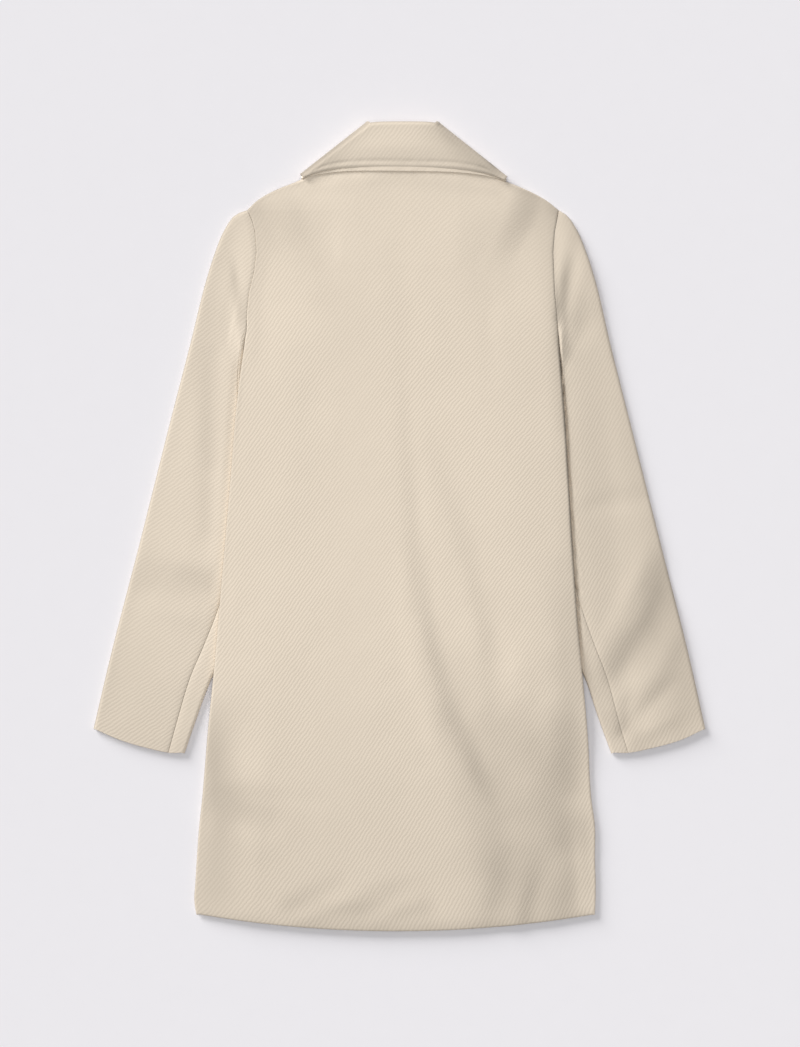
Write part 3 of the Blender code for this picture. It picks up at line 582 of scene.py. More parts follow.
class Nodes:
    """A new material, and short ways to write its node tree."""

    def __init__(self, name):
        self.material = bpy.data.materials.new(name)
        self.material.use_nodes = True
        self.tree = self.material.node_tree
        self.shader = self.tree.nodes["Principled BSDF"]

    def add(self, kind, inputs=(), **settings):
        """A new node with its inputs and settings."""
        made = self.tree.nodes.new(kind)
        for name, value in settings.items():
            setattr(made, name, value)
        for key, value in dict(inputs).items():
            self.put(value, made.inputs[key])
        return made

    def put(self, value, socket):
        """Links an output, or sets a constant."""
        if hasattr(value, "links"):
            self.tree.links.new(value, socket)
        else:
            socket.default_value = value

    def math(self, operation, *values):
        """One step of arithmetic."""
        return self.add("ShaderNodeMath", enumerate(values), operation=operation).outputs[0]

    def scaled(self, value, factor, offset):
        """The value times a factor, plus an offset."""
        return self.math("MULTIPLY_ADD", value, factor, offset)

    def read(self, name):
        """A number that the mesh stores at each point."""
        return self.add("ShaderNodeAttribute", attribute_name=name).outputs["Fac"]

    def place(self):
        """The place on the object, in metres."""
        return self.add("ShaderNodeTexCoord").outputs["Object"]

    def noise(self, vector, scale, detail=2.0, roughness=0.5):
        """Soft noise from 0 to 1."""
        inputs = {"Vector": vector, "Scale": scale, "Detail": detail, "Roughness": roughness}
        return self.add("ShaderNodeTexNoise", inputs).outputs["Fac"]

    def mix(self, share, first, second):
        """A blend of two colours."""
        inputs = {"Factor": share, 6: first, 7: second}
        return self.add("ShaderNodeMix", inputs, data_type="RGBA").outputs[2]

    def finish(self, colour, constants, bump=None):
        """Sets the shader's colour, bump and constants, and gives the material."""
        self.put(colour, self.shader.inputs["Base Color"])
        if bump:
            self.put(self.add("ShaderNodeBump", bump).outputs[0], self.shader.inputs["Normal"])
        for name, value in constants.items():
            self.shader.inputs[name].default_value = value
        return self.material


def make_twill():
    """Thick twill: rounded ribs of short slanting floats, a little fuzz and uneven dye, with painted
    shade in the grooves between the ribs.
    """
    nodes = Nodes("cream_twill")
    grain = nodes.add("ShaderNodeUVMap", uv_map="grain").outputs[0]
    place = nodes.place()
    parts = nodes.add("ShaderNodeSeparateXYZ", {0: grain})
    wander = nodes.scaled(nodes.noise(grain, 90.0, 3.0), 1.1, -0.55)
    across = nodes.scaled(parts.outputs["X"], 1.0 / (RIB_PITCH * MM), wander)
    wave = nodes.math("COSINE", nodes.math("MULTIPLY", across, math.tau))
    ribs = nodes.math("POWER", nodes.scaled(wave, 0.5, 0.5), 0.75)
    slant = nodes.math("MULTIPLY", across, 2.6)
    float_phase = nodes.scaled(parts.outputs["Y"], math.tau / (FLOAT_LENGTH * MM), slant)
    floats = nodes.scaled(nodes.math("SINE", float_phase), 0.5, 0.5)
    height = nodes.math("MULTIPLY", ribs, nodes.scaled(floats, 0.28, 0.72))
    height = nodes.scaled(nodes.math("SUBTRACT", height, 0.5), nodes.read("ribbing"), 0.5)
    height = nodes.scaled(nodes.noise(place, 1500.0, 3.0, 0.65), 0.28, height)
    speck = nodes.noise(place, 420.0, 2.0)
    # Painted shade: grooves between the ribs take the darker colour and rib tops the lighter one, mixed
    # with random fuzz specks
    groove_shade_and_fuzz = nodes.scaled(speck, 0.55, nodes.scaled(height, 0.45, 0.06))
    worn = nodes.scaled(nodes.noise(place, 9.0, 3.0), 1.6, -0.45)
    worn = nodes.math("MULTIPLY", nodes.math("MINIMUM", nodes.math("MAXIMUM", worn, 0.0), 1.0), 0.15)
    dye_and_groove_shade = nodes.mix(worn, nodes.mix(groove_shade_and_fuzz, DARK, LIGHT), SHADE)
    # Painted light and shade: the colour is scaled by the painted light and shade that the mesh stores
    # at each point
    painted_colour = nodes.add("ShaderNodeVectorMath", {0: dye_and_groove_shade, "Scale": nodes.read("painted_shading")}, operation="SCALE")
    constants = {"Roughness": 0.9, "Specular IOR Level": 0.18, "Sheen Weight": 0.12,
                 "Sheen Roughness": 0.45, "Sheen Tint": (1.0, 0.94, 0.86, 1.0)}
    bump = {"Strength": 0.245, "Distance": 0.0006, "Height": height}
    return nodes.finish(painted_colour.outputs[0], constants, bump)


def make_horn():
    """Turned horn: streaks of two browns under a soft polish."""
    nodes = Nodes("horn")
    stretched = nodes.add("ShaderNodeVectorMath", {0: nodes.place(), 1: (1.0, 5.0, 1.0)},
                          operation="MULTIPLY").outputs[0]
    streak = nodes.noise(stretched, 120.0, 4.0, 0.6)
    colour = nodes.mix(streak, (0.3, 0.2, 0.12, 1.0), (0.62, 0.5, 0.36, 1.0))
    bump = {"Strength": 0.15, "Distance": 0.0002, "Height": streak}
    return nodes.finish(colour, {"Roughness": 0.32}, bump)


def make_plain(name, colour, roughness, grain_size):
    """One colour with a faint grain."""
    nodes = Nodes(name)
    grainy = nodes.noise(nodes.place(), grain_size, 2.0)
    dark = tuple(value * 0.985 for value in colour[:3]) + (1.0,)
    constants = {"Roughness": roughness, "Specular IOR Level": 0.0}
    return nodes.finish(nodes.mix(grainy, dark, colour), constants)


TWILL = make_twill()
HORN = make_horn()
THREAD = make_plain("thread", (0.62, 0.54, 0.43, 1.0), 0.8, 900.0)

# --- Mesh makers ---

# Where the key light comes from, as an angle from +X
KEY_AZIMUTH = math.radians(134.0)
# Painted shade on edges that face the key light, and painted light on edges that face away: how much
# darker and lighter their colour is made
EDGE_PAINTED_SHADE = 0.36
EDGE_PAINTED_LIGHT = 0.3
LEAST_RIBBING = 0.2
SOFT_WIDTH = 0.4


def placed(points):
    """Points of the tables, in metres about the part's origin."""
    return (points - np.array([MIDDLE_X, MIDDLE_Y, 0.0])) * MM


def raised_to(flat, height):
    """Plan points with their heights."""
    return np.concatenate([flat, height[..., None]], -1)


def add_object(name, data):
    """A new object in the scene."""
    made = bpy.data.objects.new(name, data)
    bpy.context.scene.collection.objects.link(made)
    return made


def add_values(mesh, name, values):
    """A number for each point of the mesh, which its material reads by name."""
    mesh.attributes.new(name, "FLOAT", "POINT").data.foreach_set("value", values.ravel())


def painted_edge_shading(points, facing):
    """Painted shade and light where an edge turns toward or away from the key light, and how far each
    point faces up.
    """
    along, across = (np.gradient(points, axis=axis) for axis in (0, 1))
    normal = unit(np.cross(across, along) + 1e-9) * facing
    to_key = normal @ np.array([math.cos(KEY_AZIMUTH), math.sin(KEY_AZIMUTH), 0.0])
    even = 1.0 - EDGE_PAINTED_SHADE * ramp(to_key, 0.15, 0.8) + EDGE_PAINTED_LIGHT * ramp(-to_key, 0.15, 0.8)
    return even, ramp(normal[..., 2], -0.1, 0.3)


def shell(name, points, grain, painted_strokes=(), flip=False):
    """A wall of cloth from a grid of points on its right side, with softened edges."""
    rows, columns = points.shape[:2]
    index = np.arange(rows * columns).reshape(rows, columns)
    quads = np.stack([index[:-1, :-1], index[:-1, 1:], index[1:, 1:], index[1:, :-1]], -1)
    quads = quads.reshape(-1, 4)
    if flip:
        quads = quads[:, ::-1]
    mesh = bpy.data.meshes.new(name)
    mesh.from_pydata(placed(points).reshape(-1, 3).tolist(), [], quads.tolist())
    x, y = points[..., 0], points[..., 1]
    layer = mesh.uv_layers.new(name="grain")
    grain_at = grain.read(x, y).reshape(-1, 2) * MM
    layer.data.foreach_set("uv", grain_at[quads.reshape(-1)].ravel())
    # Painted light and shade: the strokes, kept to faces that look up, and the edges' painting for the
    # key light, stored at each point to scale the colour
    even, upward = painted_edge_shading(points, -1.0 if flip else 1.0)
    add_values(mesh, "painted_shading", (1.0 + folds(painted_strokes, x, y) * PER_CENT * upward) * even)
    ribbing = 1.0 + folds(RIB_FADES, x, y) * PER_CENT
    add_values(mesh, "ribbing", np.maximum(ribbing, LEAST_RIBBING))
    mesh.shade_smooth()
    mesh.materials.append(TWILL)
    piece = add_object(name, mesh)
    wall = piece.modifiers.new("Wall", "SOLIDIFY")
    wall.thickness = WALL * MM
    wall.offset = -1.0
    wall.use_quality_normals = True
    soften = piece.modifiers.new("Soft edge", "BEVEL")
    soften.width = SOFT_WIDTH * MM
    soften.segments = 2
    soften.limit_method = "ANGLE"
    soften.angle_limit = math.radians(60)
    return piece


def declare(piece, node, flat, area, rests_on):
    """The piece stands for its CAD node, whose part it hides, and hangs from the root; its cut's sizes
    and what it rests on are not used.
    """
    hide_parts(node)
    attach(piece, "root")


# --- Body ---

BAND_STEPS = 9
EDGE_LIP = 0.35
HEM_ROUND = 2.4
HEM_DROP = 0.9
BACK_COLUMNS = 112
FRONT_COLUMNS = 56


def edge_band(height):
    """How far out and down each step of the edge lies: rolled, but level at the armhole."""
    armhole = at_armhole(height)
    rolled = 1.0 - armhole
    half = edge_thick(height) / 2
    open_by = 1.1 * ramp(height, VENT_TOP_Y + 12, VENT_TOP_Y - 18)
    underarm = ramp(height, 690, 712) * ramp(height, 745, 725)
    shoulder_tip = ramp(height, 838, 850) * ramp(height, 885, 868)
    open_by = open_by + 1.2 * (underarm + shoulder_tip)
    drop = half - SEAM_GAP / 2 - EDGE_LIP - open_by
    out = []
    down = []
    for step in range(1, BAND_STEPS + 1):
        turn = min(step / (BAND_STEPS - 1), 1.0) * math.pi / 2
        out.append(EDGE_ROLL * (step / BAND_STEPS * armhole + math.sin(turn) ** 0.7 * rolled))
        lip = EDGE_LIP * rolled if step == BAND_STEPS else 0.0
        pressed = ARMHOLE_PRESS * armhole * ramp(step, 5, BAND_STEPS)
        down.append(rolled * drop * (1 - math.cos(turn) ** 0.7) + lip + pressed)
    return np.stack(out, -1), np.stack(down, -1)


def hem_shift(x, y):
    """The hem hangs in a shallow curve, which fades upwards."""
    _, left, right = SIDES[0]
    share = (x - left) / (right - left)
    return -HEM_SAG * 4 * share * (1 - share) * ramp(y, 260, HEM_CORNER_Y)


def hem_drop(height):
    """The folded hem's edge rounds off."""
    inside = np.clip((HEM_CORNER_Y + HEM_ROUND - height) / HEM_ROUND, 0.0, 1.0)
    return HEM_DROP * (1.0 - np.sqrt(1.0 - inside**2))


def body_heights():
    """The levels of the body's sections, close together at the hem."""
    hem = HEM_CORNER_Y + np.array([0.0, 0.15, 0.5, 1.0, 1.7, 2.6])
    rest = np.linspace(HEM_CORNER_Y + 5.0, UNDERARM_Y, 172)
    armhole = np.linspace(UNDERARM_Y, SHOULDER_TIP_Y, 38)
    armhole = np.unique(np.concatenate([armhole, column(ARMHOLES, 0)]))
    shoulder = np.linspace(SHOULDER_TIP_Y, SHOULDERS[-1][0], 20)
    return np.concatenate([hem, rest, armhole[1:], shoulder[1:]])


def end_of_row(side, height, inset):
    """The panel's flat end, a roll's width inside the outline."""
    edge = np.stack([body_edge(side, height), height], -1)
    return edge - body_normal(side, height) * inset


def edge_rows(ends, side, height, turn):
    """The rolled edge that goes on from a panel's last column; turn is -1 downwards, 1 upwards."""
    out, down = edge_band(height)
    normal = body_normal(side, height)[:, None, :]
    return raised_to(ends[:, None, :2] + normal * out[..., None], ends[:, 2:] + turn * down)


def make_back():
    """A grid between the body's flat edges, raised over what lies beneath, and its rolled edges."""
    height = body_heights()
    left = end_of_row(-1, height, EDGE_ROLL)[:, None, :]
    right = end_of_row(1, height, EDGE_ROLL)[:, None, :]
    share = np.linspace(0.0, 1.0, BACK_COLUMNS)[None, :, None]
    flat = left + (right - left) * share
    share = share[..., 0]
    level = height[:, None]
    x = flat[..., 0]
    neck_bow = 3.0 * ramp(level, 900, SHOULDERS[-1][0])
    y = flat[..., 1] + hem_shift(x, level) + neck_bow * 4 * share * (1 - share)
    side_level = np.minimum(level, SHOULDER_TIP_Y)
    inward = np.minimum(x - body_edge(-1, side_level), body_edge(1, side_level) - x) - EDGE_ROLL
    shoulder_way = 4.0 * (to_shoulder(x, y) - EDGE_ROLL)
    inward = (np.maximum(inward, 0.01) ** -3 + np.maximum(shoulder_way, 0.01) ** -3) ** (-1 / 3)
    z = back_top(x, y, inward) - hem_drop(level)
    ends = lift(x, y) + edge_thick(level) - hem_drop(level)
    z[:, 0] = ends[:, 0]
    z[:, -1] = ends[:, -1]
    panel = np.stack([x, y, z], -1)
    left_edge = edge_rows(panel[:, 0], -1, height, -1)
    right_edge = edge_rows(panel[:, -1], 1, height, -1)
    points = np.concatenate([left_edge[:, ::-1], panel, right_edge], 1)
    return shell("cloth_back", points, Grain(GRAIN_BACK), BACK_PAINTED_SHADING)


# Levels at which a front's inner end turns: free edge, top edge, neckline
TURN_ROW = 600.0
CORNER_ROW = 739.0
NECK_ROW = 787.0


def inner_end(side, height):
    """The end of a front's section: free edge, top edge, then up the neckline."""
    corner_y = NECK_BOTTOM_Y - 6.0
    rise = np.clip((height - TURN_ROW) / (CORNER_ROW - TURN_ROW), 0.0, 1.0)
    free_y = np.where(height <= TURN_ROW, height, TURN_ROW + rise * (corner_y - TURN_ROW))
    free = np.stack([np.full_like(height, -side * FREE_EDGE_X), free_y], -1)
    share = (height - CORNER_ROW) / (NECK_ROW - CORNER_ROW)
    top_edge = np.stack([-side * FREE_EDGE_X * (1 - share) + side * NECK_BOTTOM_X * share,
                         corner_y + share * 6.0], -1)
    last = np.array([SHOULDERS[-1][0]])
    top = end_of_row(side, last, EDGE_ROLL)[0] + np.array([0.0, -2.0])
    share = ((height - NECK_ROW) / (SHOULDERS[-1][0] - NECK_ROW))[:, None]
    neckline = np.array([side * NECK_BOTTOM_X, NECK_BOTTOM_Y]) * (1 - share) + top * share
    level = height[:, None]
    return np.where(level <= CORNER_ROW, free, np.where(level <= NECK_ROW, top_edge, neckline))


def make_front(side, word):
    """A grid from the body's edge to the front's free edge; side is -1 for left and 1 for right."""
    height = np.unique(np.concatenate([body_heights(), [CORNER_ROW, NECK_ROW]]))
    start = end_of_row(side, height, EDGE_ROLL)[:, None, :]
    end = inner_end(side, height)[:, None, :]
    share = np.linspace(0.0, 1.0, FRONT_COLUMNS)[None, :, None]
    flat = start + (end - start) * share
    level = height[:, None]
    x = flat[..., 0]
    y = flat[..., 1] + hem_shift(x, level) + 1.2 * ramp(level, 60, HEM_CORNER_Y)
    z = lift(x, y)
    if side < 0:
        z = z + overlap_step(x, y)
    panel = np.stack([x, y, z], -1)
    edge = edge_rows(panel[:, 0], side, height, 1)
    points = np.concatenate([edge[:, ::-1], panel], 1)
    return shell("cloth_front_" + word, points, Grain(GRAIN_BACK), flip=side < 0)


# --- Sleeves ---

# About how long a sleeve is, and the first share of it, where its edges leave the armhole
SLEEVE_LENGTH = 600.0
FIRST_SHARE = 0.04


class Sleeve:
    """One sleeve's plan, read across its width and along its length."""

    def __init__(self, side):
        self.side = side
        armhole = []
        for row in ARMHOLES:
            gap = (0.06 if side < 0 else 0.4) + 0.2 * ramp(row[0], 826, 862)
            armhole.append((row[1 if side < 0 else 2] + side * gap, row[0]))
        self.armhole = Trace(armhole, straight=True)
        self.outer = Trace(side_points(SLEEVE_OUTER, side))
        self.inner = Trace(side_points(SLEEVE_INNER, side))
        self.cuff = Trace(side_points(CUFFS, side))

    def across(self, curve, share, sign):
        """The plan direction out of the sleeve; at the armhole it runs along the seam."""
        along = curve.along(share)
        out = sign * self.side * np.stack([-along[..., 1], along[..., 0]], -1)
        end = np.array(1.0 if sign > 0 else 0.0)
        seam = sign * self.armhole.along(end)
        return unit(seam + (out - seam) * ramp(share, 0.0, FIRST_SHARE)[..., None])

    def inset_at(self, curve, u):
        """A point of the armhole or cuff, between the rolls at its two ends."""
        end = EDGE_ROLL / curve.length
        return curve.at(end + u * (1 - 2 * end))

    def outer_share(self, v):
        """The outer edge runs ahead of the inner one, so that sections soon lie square."""
        return v + 0.2 * (1 - np.exp(-v / 0.07)) * (1 - v)

    def edges(self, v):
        """The flat ends of each section."""
        ahead = self.outer_share(v)
        starts = ramp(v, FIRST_SHARE, 0.0)[..., None]
        inner = self.inner.at(v) + (self.armhole.at(0.0) - self.inner.at(0.0)) * starts
        outer = self.outer.at(ahead) + (self.armhole.at(1.0) - self.outer.at(0.0)) * starts
        inner = inner - self.across(self.inner, v, -1) * EDGE_ROLL
        outer = outer - self.across(self.outer, ahead, 1) * EDGE_ROLL
        return inner, outer

    def plan(self, u, v):
        """Inner edge at u = 0, outer edge at u = 1; armhole at v = 0, cuff at v = 1."""
        inner, outer = self.edges(v)
        v = v[..., None]

        def between(share):
            """A straight blend from the armhole to the cuff."""
            return self.inset_at(self.armhole, share) * (1 - v) + self.inset_at(self.cuff, share) * v

        first = between(np.zeros_like(u))
        last = between(np.ones_like(u))
        u_wide = u[..., None]
        return between(u) + (1 - u_wide) * (inner - first) + u_wide * (outer - last)

    def base(self, points, v):
        """The sleeve rises to the body at its armhole."""
        level = ramp(v * SLEEVE_LENGTH, 54, 4)
        edge_y = np.clip(points[..., 1], UNDERARM_Y, SHOULDER_TIP_Y)
        edge_x = body_edge(self.side, edge_y) - self.side * EDGE_ROLL
        return lift(edge_x, edge_y) * level

    def top(self, points, v):
        """The height of the upper side, with its creases."""
        x, y = points[..., 0], points[..., 1]
        seen = ramp(v * SLEEVE_LENGTH, 2, 40) * ramp(v, 1.0, 0.97)
        out = self.side * (x - body_edge(self.side, np.minimum(y, UNDERARM_Y)))
        shown = np.where(y > 220, ramp(out, 0, 12), 1.0)
        uneven = folds(SLEEVE_FOLDS, x, y) + relief(x, y, 21)
        pressed = ARMHOLE_PRESS * ramp(v * SLEEVE_LENGTH, 5, 0) * at_armhole(y)
        if self.side > 0:
            beside = ramp(y, 728, 690) * ramp(y, 290, 360)
            pressed = pressed + 1.2 * np.exp(-(((out - 0.8) / 1.4) ** 2)) * beside
            pressed = pressed - 2.8 * ramp(out, 0.6, 3.6) * ramp(out, 56, 8) * beside
        return self.base(points, v) + SLEEVE_THICK + uneven * seen * shown - pressed


# How deep and how wide the seams press in
SEAM_PRESS = 0.5
SEAM_REACH = 4.0


def sleeve_ring(plan, v, u_top, u_low, edge, steps, low_steps):
    """Sections from the top seam round one edge, 0 inner or 1 outer, to the seam beneath."""
    level = v[:, None]
    if edge:
        out = plan.across(plan.outer, plan.outer_share(v), 1)
    else:
        out = plan.across(plan.inner, v, -1)
    u = u_top[:, None] + (edge - u_top[:, None]) * np.linspace(0.0, 1.0, steps + 1)[None, :]
    spread = level + 0 * u
    top_plan = plan.plan(u, spread)
    seam_way = np.linalg.norm(top_plan - top_plan[:, :1], axis=-1)
    top_z = plan.top(top_plan, spread)
    top_z = top_z - SEAM_PRESS * np.exp(-((seam_way / SEAM_REACH) ** 2)) * ramp(spread, 0.2, 0.3)
    low_u = edge + (u_low[:, None] - edge) * np.linspace(0.0, 1.0, low_steps + 1)[None, :]
    spread = level + 0 * low_u
    low_plan = plan.plan(low_u, spread)
    low_z = plan.base(low_plan, spread)
    angles = np.radians(np.linspace(0.0, 180.0, 15)[1:-1])[None, :]
    high = top_z[:, -1:]
    low = low_z[:, :1]
    arc_plan = top_plan[:, -1:, :] + out[:, None, :] * (EDGE_ROLL * np.sin(angles))[..., None]
    arc_z = (high + low) / 2 + (high - low) / 2 * np.cos(angles)
    plans = np.concatenate([top_plan, arc_plan, low_plan], 1)
    return raised_to(plans, np.concatenate([top_z, arc_z, low_z], 1))


def make_sleeve(side, word):
    """The upper and the under sleeve, parted at their two seams."""
    plan = Sleeve(side)
    v = np.concatenate([np.linspace(0.0, 0.06, 16), np.linspace(0.06, 0.985, 136)[1:],
                        [0.991, 0.995, 0.998, 1.0]])
    ends = plan.plan(np.array([[0.0, 1.0]]) + 0 * v[:, None], v[:, None] + np.zeros((1, 2)))
    width = np.linalg.norm(ends[:, 1] - ends[:, 0], axis=-1)
    gap = SEAM_GAP / 2 / width
    on_top, beneath = (smooth_read(column(SLEEVE_SEAMS, 0), column(SLEEVE_SEAMS, index), v)
                       for index in (1, 2))
    grain = Grain(GRAIN_SLEEVE_LEFT if side < 0 else GRAIN_SLEEVE_RIGHT)
    upper = sleeve_ring(plan, v, on_top + gap, beneath + gap, 1, 26, 14)
    under = sleeve_ring(plan, v, on_top - gap, beneath - gap, 0, 8, 8)
    return (shell("cloth_upper_sleeve_" + word, upper, grain, SLEEVE_PAINTED_SHADING, flip=side > 0),
            shell("cloth_under_sleeve_" + word, under, grain, SLEEVE_PAINTED_SHADING, flip=side < 0))


# --- Collar ---

# Key points of each half's plan: neck point, roll corner, leaf corner, then the front end's three
COLLAR_LEFT = {
    "neck": (-68.0, 925.5), "roll": (-42.0, 966.0), "leaf": (-120.0, 905.0),
    "neck_end": (-6.3, 805.2), "roll_end": (-0.8, 807.0), "leaf_end": (-85.0, 765.0),
}
COLLAR_RIGHT = {
    "neck": (72.0, 925.5), "roll": (48.0, 966.0), "leaf": (129.0, 902.0),
    "neck_end": (6.3, 805.2), "roll_end": (0.8, 807.0), "leaf_end": (91.0, 763.0),
}
# How far the leaf's edge, the neck seam and the roll bow up between the corners
LEAF_BOW = 13.0
NECK_BOW = 3.2
ROLL_RISE = 2.6
# The plan direction out of the right side fold
FOLD_OUT = (0.68, 0.733)
FRONT_STEPS = 60
BACK_STEPS = 76
FOLD_STEPS = 16
# Half thickness of the collar at its right side, on the stand and on the leaf, the leaf's at its
# corner, and how much longer the leaf is
COLLAR_LAYERS = {
    "upper_collar": (0.4, 10.2, 6.4, 0.0),
    "under_collar": (5.4, 5.7, 1.5, 4.6),
}
# How far inside its key points the collar's plan runs, at the roll, the leaf's corner and the neck
UPPER_ROLL = 10.2
UPPER_CORNER = 6.4
STAND_ROOM = 5.4
ROLL_RADIUS = 4.9
# Share of the under collar's extra length that it lies further inside at the roll
ROLL_INSIDE = 0.25
BACK_UP = np.array([0.0, 1.0])
LEAF_LENGTH = 52.0
# How much lower the upper leaf's edge lies than on the solid
LEAF_PRESS = 2.4


# The collar's lines, from the neck seam over the roll to the leaf's edge: the shares of the stand
# and of the leaf that each has passed, and how far it has turned round the roll
ON_STAND = np.concatenate([np.linspace(0.0, 0.94, 10), np.ones(37)])
ON_LEAF = np.concatenate([np.zeros(23), np.linspace(0.05, 0.7, 10), np.linspace(0.73, 1.0, 14)])
ON_ROLL = np.concatenate([np.zeros(10), np.linspace(0.0, math.pi, 13), np.full(24, math.pi)])
# How far the back of each line stands above its corners
RISES = ROLL_RISE * (ON_STAND - ON_LEAF)


def on_lines(seam, roll, edge):
    """A point on each line, where the stand runs from seam to roll and the leaf from roll to edge."""
    return seam + (roll - seam) * ON_STAND[:, None] + (edge - roll) * ON_LEAF[:, None]


class CollarHalf:
    """One half's plan at its side fold and at its front end, with an entry for each line."""

    def __init__(self, layer, key_points, side):
        self.stand, self.leaf, corner, self.longer = COLLAR_LAYERS[layer]
        self.side = side
        self.out = np.array([side * FOLD_OUT[0], FOLD_OUT[1]])
        keys = {name: np.array(point) for name, point in key_points.items()}
        inside = np.array([side * FOLD_OUT[1], -FOLD_OUT[0]]) * self.longer * ROLL_INSIDE
        down = unit(keys["leaf"] - keys["roll"])
        self.fold_start = on_lines(keys["neck"] - self.out * STAND_ROOM,
                                   keys["roll"] - self.out * UPPER_ROLL + inside,
                                   keys["leaf"] - self.out * UPPER_CORNER + down * self.longer * 0.5)
        run = unit(keys["roll_end"] - keys["roll"])
        self.front_up = side * np.array([run[1], -run[0]])
        leaf_run = keys["leaf_end"] - keys["roll_end"]
        self.front_end = on_lines(
            keys["neck_end"],
            keys["roll_end"] - self.front_up * (ROLL_RADIUS + self.longer * ROLL_INSIDE),
            keys["leaf_end"] + leaf_run * self.longer * 0.008)
        self.spread = (self.leaf - self.stand) / 2
        self.reach = self.stand + self.spread * (1 - np.cos(ON_ROLL)) + (corner - self.leaf) * ON_LEAF

    def bulge(self, up):
        """How far the roll stands out past its centre line."""
        return unit(up) * (abs(self.spread) * np.sin(ON_ROLL))[:, None]

    def height(self, front, corner=0.0, raised=0.0):
        """Height of the right side; corner is 1 at the side folds and 0 at the middle of the back."""
        turn = np.cos(ON_ROLL)
        across = (self.stand + self.leaf) / 2 - self.spread * turn
        if front:
            return COLLAR_THICK / 2 - across + raised * (1 + turn) / 2
        sink = (0.3 + 4.2 * corner) * ON_LEAF
        if self.longer == 0.0:
            sink = sink + LEAF_PRESS * (1 - corner) * ramp(ON_LEAF, 0.45, 1.0)
        return COLLAR_THICK / 2 + across - sink


def collar_front(half):
    """Sections from the front end to the side fold, on the ground side."""
    share = (np.arange(FRONT_STEPS) / FRONT_STEPS)[:, None]
    raised = OVERLAP_STEP * ramp(share, 0.6, 0.05) * (half.side < 0)
    flat = half.front_end + (half.fold_start - half.front_end) * share[..., None]
    return raised_to(flat + half.bulge(half.front_up), half.height(True, raised=raised))


def collar_fold(half):
    """Sections round the side fold, from the ground side to the top."""
    high = half.height(False, corner=1.0)
    low = half.height(True)
    rows = []
    for share in 1 - np.arange(FOLD_STEPS + 1) / FOLD_STEPS:
        way_out = math.sin(math.pi * share)
        flat = half.fold_start + half.bulge(BACK_UP + (half.front_up - BACK_UP) * share)
        flat = flat + half.out * (half.reach * way_out)[:, None]
        if share < 0.5:
            flat = flat + BACK_UP * (RISES * (1 - way_out) ** 2)[:, None]
        rows.append(raised_to(flat, (high + low) / 2 + (high - low) / 2 * math.cos(math.pi * share)))
    return np.array(rows)


def rim_relief(x, beneath):
    """The leaf's raised rim, the valley inside it, and the puckers of its seam."""
    way = (1 - ON_LEAF) * LEAF_LENGTH
    pucker = soft_noise(x, 0.0 * x, 5.5, 91)
    if beneath:
        return 0.35 * np.exp(-((way / 3.0) ** 2)) * pucker
    valley = -(0.4 + 0.25 * pucker) * np.exp(-(((way - 8.0) / 2.6) ** 2))
    return valley - np.exp(-((way / 1.6) ** 2))


def collar_back(left, right):
    """Sections from the left side fold to the right one, over the back."""
    share = (np.arange(1, BACK_STEPS) / BACK_STEPS)[:, None]
    bow = 1 - (2 * share - 1) ** 4
    flat = left.fold_start + (right.fold_start - left.fold_start) * share[..., None]
    x = flat[..., 0]
    y = flat[..., 1] + RISES * (1 + 0.5 * bow) + left.bulge(BACK_UP)[:, 1]
    y = y + bow * (ON_LEAF * (LEAF_BOW - left.longer * 0.6) + (1 - ON_STAND) * NECK_BOW)
    z = left.height(False, corner=(2 * share - 1) ** 2)
    calm = ramp(np.minimum(share, 1 - share), 0.0, 0.06)
    return np.stack([x, y, z + calm * rim_relief(x, left.longer > 0)], -1)


def make_collar(layer):
    """One layer of the collar, from its left front end round the back to its right one."""
    left = CollarHalf(layer, COLLAR_LEFT, -1)
    right = CollarHalf(layer, COLLAR_RIGHT, 1)
    rows = [collar_front(left), collar_fold(left), collar_back(left, right),
            collar_fold(right)[::-1], collar_front(right)[::-1]]
    return shell("cloth_" + layer, np.concatenate(rows), Grain(GRAIN_COLLAR), COLLAR_PAINTED_SHADING,
                 flip=layer == "under_collar")


# --- Buttons' threads ---

# How deep the button's face is dished, how deep in its holes the stitches end, and how far they
# arch out from there
BUTTON_DISH = 1.0
STITCH_DEPTH = 1.2
STITCH_ARCH = 1.75
STITCH_STEPS = 12
THREAD_RADIUS = 0.3
# Half the distance between a stitch's two strands
STRAND_OFFSET = 0.35
TUBE_SIDES = 8


def make_threads(name, x, y):
    """Two stitches across the four holes, on the side that faces the ground."""
    seat = min(float(lift(x, y + way)) for way in (-BUTTON_RADIUS, BUTTON_RADIUS))
    face = seat - SEAM_GAP - BUTTON_THICK + BUTTON_DISH
    shape = bmesh.new()
    for row in (-1, 1):
        for strand in (-STRAND_OFFSET, STRAND_OFFSET):
            points = []
            for step in range(STITCH_STEPS + 1):
                turn = math.pi * step / STITCH_STEPS
                points.append((x - HOLE_OFFSET * math.cos(turn), y + row * HOLE_OFFSET + strand,
                               face + STITCH_DEPTH - STITCH_ARCH * math.sin(turn)))
            sweep(shape, points)
    mesh = bpy.data.meshes.new(name)
    shape.to_mesh(mesh)
    shape.free()
    mesh.shade_smooth()
    mesh.materials.append(THREAD)
    piece = add_object(name, mesh)
    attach(piece, "root")


